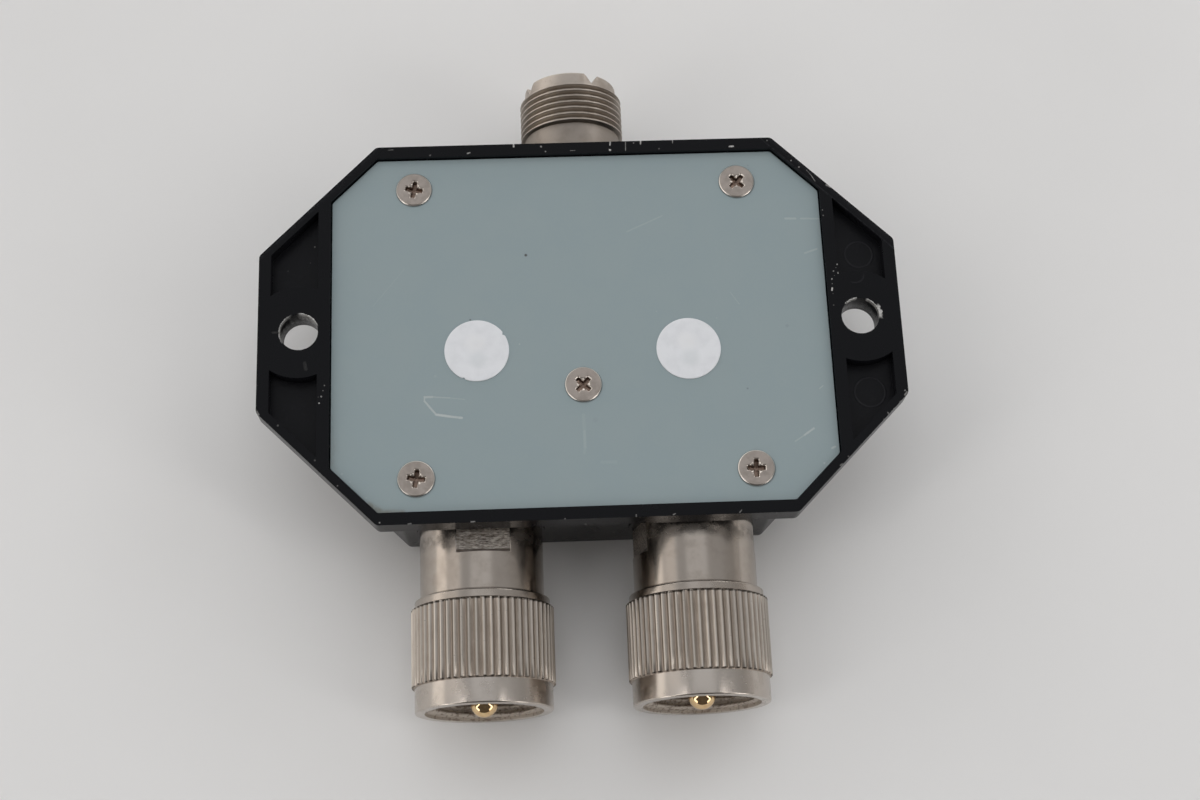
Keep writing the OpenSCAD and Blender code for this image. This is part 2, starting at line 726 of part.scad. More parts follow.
module plug_pin() {
    r = pin_d / 2;
    pin_rear = narrow_end + over;
    color("#c9a24a") rotate_extrude() polygon([
        [0, tail_end],
        [tail_d / 2, tail_end],
        [tail_d / 2, pin_rear],
        [pin_stem_d / 2, pin_rear],
        [pin_stem_d / 2, insulator_face + pin_shoulder_gap],
        [r, insulator_face + pin_shoulder_gap],
        for (a = [0 : 10 : 80]) [r * cos(a), pin_tip - r + r * sin(a)],
        [0, pin_tip]
    ]);
}

// Coupling nut: straight-ribbed knurl between a smooth collar and a smooth band
module knurl() {
    crest = knurl_d / 2;
    root = crest - knurl_depth;
    step = 360 / knurl_ribs;
    rib = [[root, -0.5], [root + knurl_depth * 0.7, -0.32], [crest, -0.12],
        [crest, 0.12], [root + knurl_depth * 0.7, 0.32]];
    translate([0, 0, nut_rear + rear_collar_len])
        linear_extrude(nut_len - rear_collar_len - band_len)
            polygon([for (k = [0 : knurl_ribs - 1]) for (p = rib)
                p[0] * [cos(step * (k + p[1])), sin(step * (k + p[1]))]]);
}
module coupling_nut() {
    r_collar = rear_collar_d / 2;
    r_band = band_d / 2;
    r_bore = nut_bore_d / 2;
    r_run = barrel_d / 2 + run_gap;
    r_groove = ring_r_out + run_gap;
    band_rear = nut_front - band_len;
    nut_shoulder = shoulder_y + nut_play;
    thread_front = nut_front - mouth_depth;
    color("#9f968b") difference() {
        union() {
            rotate_extrude() polygon([
                [0, nut_rear],
                [r_collar - rear_chamfer, nut_rear],
                [r_collar, nut_rear + rear_chamfer],
                [r_collar, band_rear],
                [r_band, band_rear],
                [r_band, nut_front - front_chamfer],
                [r_band - front_chamfer, nut_front],
                [0, nut_front]
            ]);
            knurl();
        }
        rotate_extrude() polygon([
            [0, nut_rear - over],
            [r_run, nut_rear - over],
            [r_run, ring_front - ring_w - 2 * ring_side_gap],
            [r_groove, ring_front - ring_w - 2 * ring_side_gap],
            [r_groove, ring_front + 2 * ring_side_gap],
            [r_run, ring_front + 2 * ring_side_gap],
            [r_run, nut_shoulder],
            [relief_d / 2, nut_shoulder],
            [relief_d / 2, thread_front - nut_thread_len],
            [r_bore, thread_front - nut_thread_len],
            [r_bore, thread_front],
            [mouth_d / 2, nut_front],
            [mouth_d / 2, nut_front + over],
            [0, nut_front + over]
        ]);
    }
}
module snap_ring() {
    color("#8d8f92") rotate([0, 0, 90 + ring_gap_deg / 2])
        rotate_extrude(angle = 360 - ring_gap_deg)
            translate([ring_r_in, ring_front - ring_w]) square([ring_t, ring_w]);
}

module left_plug_barrel() { at_left_plug() plug_barrel(left_flat_turn); }
module left_plug_insulator() { at_left_plug() plug_insulator(); }
module left_plug_pin() { at_left_plug() plug_pin(); }
module left_coupling_nut() { at_left_plug() coupling_nut(); }
module left_snap_ring() { at_left_plug() snap_ring(); }
module right_plug_barrel() { at_right_plug() plug_barrel(right_flat_turn); }
module right_plug_insulator() { at_right_plug() plug_insulator(); }
module right_plug_pin() { at_right_plug() plug_pin(); }
module right_coupling_nut() { at_right_plug() coupling_nut(); }
module right_snap_ring() { at_right_plug() snap_ring(); }

// Circuit board, notched round the cast rib, with its screws and solder lugs
module circuit_board() {
    color("#6f7f3f") difference() {
        translate([-board_l / 2, -board_w / 2, board_h]) cube([board_l, board_w, board_t]);
        translate([-slot_half, -board_w / 2 - over, board_h - over])
            cube([2 * slot_half, board_w / 2 - mid_screw_y + over, board_t + 2 * over]);
        translate([0, -mid_screw_y, 0]) disc(post_d / 2 + board_gap, board_h - over, board_top + over);
        at_corners(board_screw_x, board_screw_y)
            disc(screw_hole_r, board_h - over, board_top + over);
    }
}
module board_screws() {
    color("#c4c0b8") at_corners(board_screw_x, board_screw_y) difference() {
        union() {
            disc(screw_r, board_top - board_screw_len, board_top + board_head_h / 2);
            disc(board_head_d / 2, board_top, board_top + board_head_h);
        }
        translate([0, 0, board_top + board_head_h - recess_depth]) cross_recess();
    }
}
// Lug: a foot on the board and an upright with the tail through it
module solder_lug() {
    upright = tail_end + 1;
    difference() {
        union() {
            translate([-lug_w / 2, -axis_h + board_top, upright - lug_foot + lug_t])
                cube([lug_w, lug_t, lug_foot]);
            translate([-lug_w / 2, -axis_h + board_top, upright])
                cube([lug_w, axis_h - board_top + lug_w / 2, lug_t]);
        }
        disc(tail_d / 2 + fit_gap, upright - over, upright + lug_t + over);
    }
}
module solder_lugs() {
    color("#c8c2b4") {
        at_left_plug() solder_lug();
        at_right_plug() solder_lug();
        at_socket() rotate([0, 0, 180]) solder_lug();
    }
}

// Air-wound coil: legs on the board and turns over the coil's own axis, which is X
function coil_path(r, turns) =
    let (mid_z = board_top + coil_lift + wire_d / 2 + r,
         half_len = coil_pitch * (turns + 0.5) / 2,
         sweep = 180 + 360 * turns,
         steps = 8 + 16 * turns)
    concat(
        [[-half_len, -r, board_top]],
        [for (k = [0 : steps])
            [-half_len + 2 * half_len * k / steps,
             -r * cos(sweep * k / steps), mid_z + r * sin(sweep * k / steps)]],
        [[half_len, r, board_top]]);
function along(path, i) = unit(path[min(i + 1, len(path) - 1)] - path[max(i - 1, 0)]);
module wire(path, d, sides = 6) {
    n = len(path);
    rings = [for (i = [0 : n - 1])
        let (t = i == 0 || i == n - 1 ? [0, 0, i == 0 ? 1 : -1] : along(path, i),
             a = unit(cross(t, [1, 0, 0])),
             b = cross(t, a))
        for (k = [0 : sides - 1])
            path[i] + d / 2 * (cos(360 * k / sides) * a + sin(360 * k / sides) * b)];
    polyhedron(points = rings,
        faces = concat(
            [[for (k = [0 : sides - 1]) k]],
            [[for (k = [sides - 1 : -1 : 0]) (n - 1) * sides + k]],
            [for (i = [0 : n - 2]) for (k = [0 : sides - 1])
                [i * sides + k, (i + 1) * sides + k,
                 (i + 1) * sides + (k + 1) % sides, i * sides + (k + 1) % sides]]),
        convexity = 8);
}
// Places of the filters' parts on the board: [x, y, turn]
low_coil_places = [[-24, -4, 90], [-23.5, 6.5, 90], [-12.5, 6.5, 0]];
high_coil_places = [[23.2, -4, 90], [23.2, 5.5, 90], [9, 6.5, 0]];
low_cap_places = [[-8, -12, 0], [-8, -4, 90], [-12, 14.2, 0], [-18.2, 6.5, 90]];
high_cap_places = [[8, -12, 0], [8, -4, 90], [12, 14.2, 0], [15.8, 6.5, 90]];

module coils(places, r, turns) {
    for (p = places) translate([p[0], p[1], 0]) rotate([0, 0, p[2]]) wire(coil_path(r, turns), wire_d);
}
module low_band_coils() {
    color("#b5703a") coils(low_coil_places, low_coil_r, low_coil_turns);
}
module high_band_coils() {
    color("#b5703a") coils(high_coil_places, high_coil_r, high_coil_turns);
}

// Disc capacitors that stand on two leads
module capacitor() {
    mid_z = board_top + cap_lift + cap_r;
    translate([0, 0, mid_z]) rotate([90, 0, 0]) rotate_extrude() polygon([
        [0, -cap_t / 2], [cap_r * 0.6, -cap_t / 2], [cap_r, -cap_t / 6],
        [cap_r, cap_t / 6], [cap_r * 0.6, cap_t / 2], [0, cap_t / 2]]);
    for (sx = [-1, 1]) translate([sx * cap_r / 2, 0, 0])
        disc(lead_d / 2, board_top, mid_z - cap_r / 2);
}
module low_band_capacitors() {
    color("#b98a4e") for (p = low_cap_places)
        translate([p[0], p[1], 0]) rotate([0, 0, p[2]]) capacitor();
}
module high_band_capacitors() {
    color("#b98a4e") for (p = high_cap_places)
        translate([p[0], p[1], 0]) rotate([0, 0, p[2]]) capacitor();
}

// Trimmer capacitor: a base on the board, and a rotor whose stem is swaged below
module at_trimmer(side) {
    translate([side * tuning_x, -tuning_y, 0]) children();
}
module trimmer_base() {
    color("#ded8c6") difference() {
        disc(trimmer_d / 2, board_top, board_top + trimmer_h);
        disc(stem_d / 2 + rotor_gap, board_top - over, board_top + trimmer_h + over);
        disc(foot_d / 2 + rotor_gap, board_top - over, board_top + foot_h + 3 * rotor_gap);
    }
}
module trimmer_rotor() {
    base_top = board_top + trimmer_h + rotor_gap;
    color("#c9c4bb") difference() {
        union() {
            disc(rotor_d / 2, base_top, base_top + rotor_h);
            disc(stem_d / 2, board_top + rotor_gap, base_top + rotor_h / 2);
            disc(foot_d / 2, board_top + rotor_gap, board_top + rotor_gap + foot_h);
        }
        translate([-rotor_d / 2 - over, -rotor_slot_w / 2, base_top + rotor_h / 2])
            cube([rotor_d + 2 * over, rotor_slot_w, rotor_h]);
    }
}
module left_trimmer_base() { at_trimmer(-1) trimmer_base(); }
module left_trimmer_rotor() { at_trimmer(-1) trimmer_rotor(); }
module right_trimmer_base() { at_trimmer(1) trimmer_base(); }
module right_trimmer_rotor() { at_trimmer(1) trimmer_rotor(); }

housing();
cover_plate();
cover_screws();
left_tuning_seal();
right_tuning_seal();
socket_shell();
socket_insulator();
socket_contact();
socket_lock_washer();
socket_lock_nut();
left_plug_barrel();
left_plug_insulator();
left_plug_pin();
left_coupling_nut();
left_snap_ring();
right_plug_barrel();
right_plug_insulator();
right_plug_pin();
right_coupling_nut();
right_snap_ring();
circuit_board();
board_screws();
solder_lugs();
low_band_coils();
high_band_coils();
low_band_capacitors();
high_band_capacitors();
left_trimmer_base();
left_trimmer_rotor();
right_trimmer_base();
right_trimmer_rotor();
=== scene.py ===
import math

import bmesh
import bpy
from mathutils import Matrix, Vector


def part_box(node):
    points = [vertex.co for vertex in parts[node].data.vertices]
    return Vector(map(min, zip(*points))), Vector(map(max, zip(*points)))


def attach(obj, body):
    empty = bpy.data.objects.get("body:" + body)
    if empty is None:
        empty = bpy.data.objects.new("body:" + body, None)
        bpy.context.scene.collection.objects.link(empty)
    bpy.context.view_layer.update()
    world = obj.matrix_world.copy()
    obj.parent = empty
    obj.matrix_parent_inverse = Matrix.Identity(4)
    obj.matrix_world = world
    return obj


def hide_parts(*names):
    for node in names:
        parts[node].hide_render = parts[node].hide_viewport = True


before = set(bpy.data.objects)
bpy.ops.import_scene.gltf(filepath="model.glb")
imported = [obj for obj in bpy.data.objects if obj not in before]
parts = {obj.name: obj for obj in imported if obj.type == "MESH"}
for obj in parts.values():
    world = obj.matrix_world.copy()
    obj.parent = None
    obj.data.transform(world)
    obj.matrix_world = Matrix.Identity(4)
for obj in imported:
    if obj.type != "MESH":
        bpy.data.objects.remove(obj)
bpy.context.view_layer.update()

# The case is one pressure die casting in zinc alloy, sprayed with glossy black
# enamel. It carries everything else. Handling has knocked specks of the enamel
# off its rim and off the edges of its two fixing holes.
mm = 0.001


def ends_of(part, axis):
    """Where a part of the frame starts and ends along an axis, in millimetres."""
    low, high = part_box(part)
    return low[axis] / mm, high[axis] / mm


case_top = ends_of("housing", 2)[1]
plate_top = ends_of("cover_plate", 2)[1]
pocket_floor = case_top - 2.2
side_y = ends_of("housing", 1)[0]
ear_x = 40.6
ear_hole_r = 2.75
enamel_black = (0.0028, 0.003, 0.0042)
bare_zinc = (0.7, 0.69, 0.67)


class Reading:
    """One socket of a recipe's nodes, so that what it gives can be used in a sum."""

    def __init__(self, recipe, socket):
        self.recipe = recipe
        self.socket = socket

    def sum(self, operation, *values):
        return self.recipe.node("ShaderNodeMath", {"operation": operation}, dict(enumerate(values)))

    def __add__(self, other):
        return self.sum("ADD", self, other)

    def __sub__(self, other):
        return self.sum("SUBTRACT", self, other)

    def __rsub__(self, other):
        return self.sum("SUBTRACT", other, self)

    def __mul__(self, other):
        return self.sum("MULTIPLY", self, other)

    def __truediv__(self, other):
        return self.sum("DIVIDE", self, other)

    def __lt__(self, other):
        return self.sum("LESS_THAN", self, other)

    def __gt__(self, other):
        return self.sum("GREATER_THAN", self, other)

    def __pow__(self, other):
        return self.sum("POWER", self, other)

    def __abs__(self):
        return self.sum("ABSOLUTE", self)

    __radd__ = __add__
    __rmul__ = __mul__

    def least(self, other):
        return self.sum("MINIMUM", self, other)

    def most(self, other):
        return self.sum("MAXIMUM", self, other)

    def ramp(self, low, high, top=1.0):
        """0 at low, top at high and smooth in between; low may be the larger."""
        return self.recipe.node("ShaderNodeMapRange", {"interpolation_type": "SMOOTHSTEP"},
                                {"Value": self, "From Min": low, "From Max": high, "To Max": top})


class Recipe:
    """The nodes that make a finish or the sky, and the one way to add a node to them."""

    def __init__(self, tree):
        self.tree = tree

    def node(self, kind, settings={}, inputs={}, out=0):
        made = self.tree.nodes.new(kind)
        for name, value in settings.items():
            setattr(made, name, value)
        for name, value in inputs.items():
            self.join(value, made.inputs[name])
        return Reading(self, made.outputs[out])

    def join(self, value, socket):
        if isinstance(value, Reading):
            self.tree.links.new(value.socket, socket)
        elif isinstance(value, tuple) and socket.type == "RGBA":
            socket.default_value = (*value, 1)
        else:
            socket.default_value = value

    def parts_of(self, point):
        return [self.node("ShaderNodeSeparateXYZ", {}, {0: point}, out=axis) for axis in range(3)]

    def cloud(self, point, size, detail=3.0, rough=0.55, warp=0.0, out=0):
        """Soft patches of about that size in millimetres, 0 to 1."""
        return self.node("ShaderNodeTexNoise", {}, {"Vector": point, "Scale": 1 / size, "Detail": detail,
                                                    "Roughness": rough, "Distortion": warp}, out)

    def blend(self, share, colour, other):
        return self.node("ShaderNodeMix", {"data_type": "RGBA"}, {0: share, 6: colour, 7: other}, out=2)

    def far_from(self, point, spot):
        return self.node("ShaderNodeVectorMath", {"operation": "DISTANCE"}, {0: point, 1: spot}, out="Value")

    def far_along(self, point, start, end):
        """Distance in millimetres from a straight mark."""
        run = Vector(end) - Vector(start)
        reach = self.node("ShaderNodeVectorMath", {"operation": "SUBTRACT"}, {0: point, 1: start})
        share = self.node("ShaderNodeVectorMath", {"operation": "DOT_PRODUCT"},
                          {0: reach, 1: tuple(run / run.length_squared)}, out="Value")
        share = self.node("ShaderNodeClamp", {}, {0: share})
        beside = self.node("ShaderNodeVectorMath", {"operation": "SCALE"}, {0: tuple(run), "Scale": share})
        return self.far_from(reach, beside)

    def marks(self, point, height, lines, dots):
        """Marks on a level face: lines as (x, y, x, y, half width, strength) and
        dots as (x, y, radius, strength)."""
        spread = [(self.far_along(point, (x0, y0, height), (x1, y1, height)), half, strength)
                  for x0, y0, x1, y1, half, strength in lines]
        spread += [(self.far_from(point, (x0, y0, height)), radius, strength)
                   for x0, y0, radius, strength in dots]
        shown = None
        for distance, reach, strength in spread:
            one = distance.ramp(reach * 1.35, reach * 0.5, strength)
            shown = one if shown is None else shown.most(one)
        return shown


class Finish(Recipe):
    """A finish of one of the pieces: its material and how it is put on."""

    def __init__(self, name, **constants):
        self.material = bpy.data.materials.new(name)
        self.material.use_nodes = True
        super().__init__(self.material.node_tree)
        self.shader = self.tree.nodes["Principled BSDF"]
        self.give(**constants)

    def give(self, **sockets):
        for name, value in sockets.items():
            self.join(value, self.shader.inputs[name.replace("_", " ")])

    def place(self):
        """Where a point of the surface is, in millimetres of the row's frame."""
        point = self.node("ShaderNodeTexCoord", out="Object")
        return self.node("ShaderNodeVectorMath", {"operation": "SCALE"}, {0: point, "Scale": 1000.0})

    def shaken(self, point, reach, size):
        """The point shifted by a little noise, which makes a mark's outline ragged."""
        push = self.cloud(point, size, 2, out="Color")
        start = self.node("ShaderNodeVectorMath", {"operation": "SUBTRACT"}, {0: point, 1: (reach / 2,) * 3})
        shift = {0: push, 1: (reach,) * 3, 2: start}
        return self.node("ShaderNodeVectorMath", {"operation": "MULTIPLY_ADD"}, shift)

    def bump(self, height, depth, onto=None):
        """A normal from a height of 0 to 1 that stands for that depth in millimetres."""
        inputs = {"Height": height, "Distance": depth * mm, "Strength": 1.0}
        if onto is not None:
            inputs["Normal"] = onto
        return self.node("ShaderNodeBump", {}, inputs)

    def dress(self, *objects):
        for shown in objects:
            shown.data.materials.clear()
            shown.data.materials.append(self.material)


def ease_edges(part, width):
    """A cast, moulded or punched edge is never quite sharp."""
    weld = part.modifiers.new("weld", "WELD")
    weld.merge_threshold = 0.000002
    eased = part.modifiers.new("eased_edges", "BEVEL")
    eased.width = width * mm
    eased.segments = 2
    eased.limit_method = "ANGLE"
    eased.angle_limit = math.radians(40)
    eased.harden_normals = True


# Knocks on the top of the rim and the ears, as (x, y, x, y, half width, strength).
rim_knocks = [
    (-9.05, 29.1, -9.05, 28.55, 0.12, 0.9), (5.4, 29.1, 5.36, 28.4, 0.1, 0.7),
    (7.7, 28.9, 7.65, 27.5, 0.07, 0.3), (9.96, 29.1, 9.94, 28.5, 0.1, 0.8),
    (14.77, 29.1, 14.74, 28.5, 0.06, 0.5), (23.25, 27.65, 23.8, 27.7, 0.13, 0.8),
    (-15.95, 27.63, -15.6, 27.77, 0.12, 0.45), (-0.6, 27.67, 0.1, 27.7, 0.05, 0.25),
    (-27.7, 28.5, -27.0, 28.56, 0.06, 0.2), (-16.35, -28.92, -15.85, -28.88, 0.1, 0.4),
    (21.1, -28.85, 21.4, -28.5, 0.08, 0.25), (6.64, -28.7, 6.64, -29.1, 0.1, 0.25),
    (-25.1, -28.98, -24.7, -28.9, 0.12, 0.25), (11.8, -28.84, 12.1, -28.7, 0.08, 0.35),
    (45.93, -12.35, 46.26, -11.9, 0.13, 0.35), (45.1, -13.4, 45.5, -13.15, 0.11, 0.25),
    (43.24, -14.9, 43.4, -15.3, 0.1, 0.25), (42.6, -15.9, 42.84, -16.1, 0.1, 0.22),
    (35.8, -22.5, 36.1, -22.3, 0.1, 0.28), (-46.36, -11.8, -46.08, -12.3, 0.13, 0.35),
    (34.53, 23.45, 35.14, 22.6, 0.06, 0.2), (35.14, 22.6, 35.66, 21.6, 0.06, 0.35),
    (37.3, 20.95, 37.95, 20.55, 0.12, 0.45), (36.76, 4.05, 36.84, 4.45, 0.11, 0.75),
    (-39.7, -4.75, -39.5, -5.7, 0.25, 0.03), (-44.3, 0.03, -43.3, 0.06, 0.15, 0.04),
]
rim_specks = [
    (5.33, 27.6, 0.17, 1.0), (-4.96, 28.47, 0.16, 0.4), (-4.31, 27.63, 0.12, 0.3),
    (8.9, 28.65, 0.1, 0.35), (8.75, 27.1, 0.08, 0.15), (-20.2, 26.96, 0.1, 0.15),
    (-21.5, 27.5, 0.15, 0.15), (12.67, 27.6, 0.12, 0.12), (28.96, 28.5, 0.1, 0.3),
    (-29.04, -28.6, 0.12, 0.4), (-3.3, -28.95, 0.12, 0.2), (43.85, -14.7, 0.1, 0.35),
    (44.18, -14.35, 0.11, 0.4), (46.0, -11.64, 0.12, 0.35), (37.04, -21.2, 0.1, 0.25),
    (-34.88, -23.1, 0.12, 0.22), (-43.34, -14.0, 0.15, 0.12), (-38.1, -19.3, 0.15, 0.12),
    (-36.83, -8.24, 0.11, 0.3), (-37.03, -9.0, 0.09, 0.22), (-37.28, -9.87, 0.13, 0.4),
    (-37.57, -10.87, 0.12, 0.6), (-37.68, -9.94, 0.07, 0.18), (37.87, 8.12, 0.11, 0.6),
    (37.23, 7.07, 0.1, 0.4), (37.89, 6.78, 0.13, 0.5), (37.65, 7.62, 0.06, 0.3),
    (37.32, 6.37, 0.06, 0.25), (36.9, 5.85, 0.12, 0.5), (36.9, 5.1, 0.09, 0.2),
    (36.87, 3.55, 0.07, 0.2), (36.84, 1.74, 0.1, 0.15), (38.6, 2.01, 0.11, 0.7),
    (32.32, 25.08, 0.11, 0.4), (33.44, 23.98, 0.13, 0.4), (33.65, 24.7, 0.09, 0.15),
    (36.4, 16.87, 0.1, 0.25), (36.43, 16.0, 0.1, 0.25),
]
pocket_specks = [(-38.74, 14.15, 0.12, 0.25), (-39.34, 11.6, 0.09, 0.1), (-42.6, 10.4, 0.1, 0.08)]

black = Finish("black_enamel", Specular_IOR_Level=0.14)
at = black.place()
x, y, z = black.parts_of(at)
grain = black.cloud(at, 0.35, 2)
dust = black.cloud(at, 2.2, 4, 0.7)
hand = black.cloud(at, 11.0, 3)
worn_at = black.shaken(at, 0.16, 0.16)
knocked = black.marks(worn_at, case_top, rim_knocks, rim_specks)
knocked = knocked.most(black.marks(worn_at, pocket_floor, [], pocket_specks))
knocked = knocked.most(black.far_from(worn_at, (-0.4, side_y, 20.9)).ramp(0.22, 0.1, 0.4))

# The fixing holes' edges are chipped over part of their turn, and their bores show the drill's marks.
beside_hole = abs(x) - ear_x
from_hole = (beside_hole * beside_hole + y * y) ** 0.5
flake = black.cloud(at, 0.35, 3)


def worn_arc(hole_x, middle, full, none, out):
    """Wear on a hole's edge: its middle in degrees, the turns where it is full and gone, its width."""
    c, s = math.cos(math.radians(middle)), math.sin(math.radians(middle))
    turn = ((x - hole_x) * c + y * s) / from_hole
    reach = (from_hole + (flake - 0.5) * out * 1.8).ramp(ear_hole_r + out, ear_hole_r + out * 0.7)
    return turn.ramp(math.cos(math.radians(none)), math.cos(math.radians(full))) * reach


chipped = worn_arc(ear_x, 114, 12, 20, 0.15).most(worn_arc(ear_x, 46, 16, 24, 0.14))
chipped = chipped.most(worn_arc(ear_x, 12, 8, 24, 0.55)) * (x > 0)
left_wear = worn_arc(-ear_x, 165, 25, 56, 0.18) * 0.6
chipped = chipped.most(left_wear.most(worn_arc(-ear_x, 55, 18, 42, 0.16)) * (x < 0))
chipped = chipped * flake.ramp(0.25, 0.42) * z.ramp(23.1, 23.6)
in_bore = (from_hole < ear_hole_r + 0.02) * (z < 23.8)
worn_bore = worn_arc(-ear_x, 58, 16, 44, 1.0) * in_bore * z.ramp(20.9, 22.6) * flake.ramp(0.3, 0.55) * (x < 0)
drill = black.cloud(black.node("ShaderNodeMapping", {}, {"Vector": at, "Scale": (0.25, 0.25, 5.0)}), 1.0, 3)
bare = knocked.most(chipped * 0.9).most(worn_bore * 0.55).most(in_bore * drill.ramp(0.4, 0.7) * 0.06)

# Along the rim's slanting edges the gloss is rubbed to grey and a painted highlight runs along them,
# and the ejector pins left rings, which are painted paler as highlights on their ridges.
slant = abs(x) + y
rub_and_highlight_line = (slant.ramp(57.3, 58.2) * 0.5 + abs(slant - 56.85).ramp(0.22, 0.06) * (x > 0)) * (z > 23.7)
rub_and_highlight_line = rub_and_highlight_line * black.cloud(at, 0.6, 3).ramp(0.35, 0.65)
ejector_rings = [
    (41.57, 10.49, pocket_floor, 2.05), (40.32, 6.45, case_top, 1.32), (41.38, -11.04, pocket_floor, 2.22),
]
rings = None
for ring_x, ring_y, ring_z, ring_r in ejector_rings:
    ring_ridge_highlight = abs(black.far_from(at, (ring_x, ring_y, ring_z)) - ring_r).ramp(0.2, 0.05)
    if ring_z == case_top:
        # On the ring on the rim only the side towards the front and right is drawn paler: a painted
        # highlight.
        ring_ridge_highlight = ring_ridge_highlight * ((x - ring_x) - (y - ring_y) * 1.6).ramp(0.8, 2.0) * 0.6
    rings = ring_ridge_highlight if rings is None else rings.most(ring_ridge_highlight)
rings = rings * (x > 0)
sunken = (z < case_top - 0.1) * (z > pocket_floor - 0.1) * (abs(x) > 36.5) * (1 - in_bore)
sunken = sunken * (abs(x) < 45.6) * (abs(x) + abs(y) < 57.6)
on_floor = sunken * (z < pocket_floor + 0.1)
swirl = black.cloud(at, 1.7, 5, warp=2.5)

coat = black.blend(hand.ramp(0.35, 0.7) * 0.4, enamel_black, (0.004, 0.0043, 0.0055))
# Painted light: the pockets' floors and walls are made paler than the rim, for the light they reflect; the
# swirl on the floors is a moulding mark.
coat = black.blend(sunken * (0.6 + swirl.ramp(0.5, 0.75) * 0.4), coat, (0.0085, 0.0086, 0.0105))
# Painted highlight: the rubbed edges and the ejector pins' rings are drawn paler than the enamel.
coat = black.blend((rub_and_highlight_line * 0.4).most(rings * 0.35), coat, (0.035, 0.035, 0.04))
metal = black.blend(grain.ramp(0.35, 0.65), bare_zinc, (0.42, 0.41, 0.39))
black.give(
    Base_Color=black.blend(bare, coat, metal),
    Metallic=bare * 0.85,
    Roughness=0.22 + hand * 0.08 + dust.ramp(0.55, 0.8) * 0.1 + on_floor * 0.1 + bare * 0.15,
    Normal=black.bump(grain * 0.2 + swirl * on_floor * 1.2 + (1 - bare) * 0.7 + rings * 1.4, 0.035),
)
black.dress(parts["housing"])
ease_edges(parts["housing"], 0.24)

# The cover is punched from aluminium sheet and painted satin grey. Five screws
# hold it down in its recess. A tool has slipped across it and left a hooked
# scratch, and there are fainter rubs, specks and a brown stain at one corner.
grey_coat = (0.27, 0.335, 0.352)
hooked_scratch = [
    (-22.72, -10.2, -22.72, -10.8, 0.1, 0.5), (-22.72, -10.8, -21.1, -12.83, 0.14, 0.5),
    (-21.1, -12.85, -19.1, -13.2, 0.18, 0.62), (-19.1, -13.2, -17.45, -13.46, 0.17, 0.55),
    (-22.7, -10.17, -21.6, -10.19, 0.16, 0.42), (-21.6, -10.19, -19.1, -10.42, 0.1, 0.25),
    (-19.1, -10.42, -17.0, -10.7, 0.08, 0.14),
]
rubs = [
    (-0.15, -13.6, -0.1, -16.0, 0.26, 0.07), (-0.1, -16.0, -0.1, -18.4, 0.22, 0.15),
    (-0.1, -18.4, -0.22, -19.2, 0.2, 0.08), (2.2, -20.65, 4.2, -20.7, 0.25, 0.06),
    (30.9, 16.02, 32.4, 15.98, 0.16, 0.28), (33.2, 15.95, 35.9, 15.85, 0.14, 0.22),
    (29.8, -18.5, 31.2, -17.6, 0.1, 0.22), (31.2, -17.6, 32.6, -16.65, 0.14, 0.45),
    (34.95, -19.68, 35.4, -19.48, 0.15, 0.42), (33.9, -10.7, 34.4, -10.3, 0.08, 0.3),
    (7.3, 14.6, 12.6, 17.0, 0.12, 0.12), (33.4, 10.4, 35.2, 11.0, 0.14, 0.22),
    (-30.0, 4.0, -25.5, 9.6, 0.06, 0.08), (22.0, 4.5, 23.2, 2.6, 0.07, 0.14),
]
pale_specks = [
    (33.69, -21.87, 0.15, 0.4), (-34.39, -21.18, 0.17, 0.2), (-33.24, -22.35, 0.15, 0.14),
    (-31.0, -24.75, 0.15, 0.16), (-8.95, -2.56, 0.12, 0.3), (11.05, 1.87, 0.1, 0.2),
    (19.75, 0.57, 0.1, 0.2), (-21.13, -7.08, 0.2, 0.1),
]
dark_specks = [
    (-7.7, 11.3, 0.22, 0.95), (-16.0, 1.4, 0.15, 0.6), (23.54, -10.36, 0.14, 0.35),
    (29.92, -0.93, 0.25, 0.12), (25.92, 24.85, 0.13, 0.16), (1.54, -14.4, 0.4, 0.05),
]

# Each screw's place on the cover, and the turn in degrees at which the driver left it.
screw_turns = {
    "rear_left": (-24, 22.25, -10), "rear_right": (24, 22.25, 45), "front_left": (-24, -22.25, -9),
    "front_right": (24, -22.25, -2), "middle": (0, -9, 46),
}

satin = Finish("grey_satin_paint", IOR=1.45)
at = satin.place()
x, y, z = satin.parts_of(at)
fine = satin.cloud(at, 0.3, 2)
mottle = satin.cloud(at, 6.0, 4)
broken = satin.cloud(at, 0.5, 3).ramp(0.2, 0.5)
worn_at = satin.shaken(at, 0.1, 0.3)
hook = satin.marks(worn_at, plate_top, hooked_scratch, [])
light = hook.most(satin.marks(worn_at, plate_top, rubs, pale_specks)) * (0.75 + broken * 0.25)
dark_dot = satin.marks(worn_at, plate_top, [], dark_specks)
corner = satin.far_along(at, (-30.6, -25.9, plate_top), (-28.7, -27.1, plate_top))
corner = corner.least(satin.far_along(at, (-28.7, -27.1, plate_top), (-26.0, -27.2, plate_top)))
stain = corner.ramp(0.75, 0.2) * satin.cloud(at, 0.8, 4, 0.7).ramp(0.2, 0.6)
left_dust = (x.ramp(-34.6, -35.9) * y.ramp(-8.0, -18.0)) * satin.cloud(at, 0.9, 3).ramp(0.3, 0.7)
# A painted shadow: a dark ring round each screw head, a little heavier on its front side, stands for the
# shade in the gap round it.
screw_gap_shade = None
for cx, cy, turn in screw_turns.values():
    near = satin.far_from(at, (cx + 0.04, cy - 0.08, plate_top)).ramp(2.82, 2.6)
    screw_gap_shade = near if screw_gap_shade is None else screw_gap_shade.most(near)

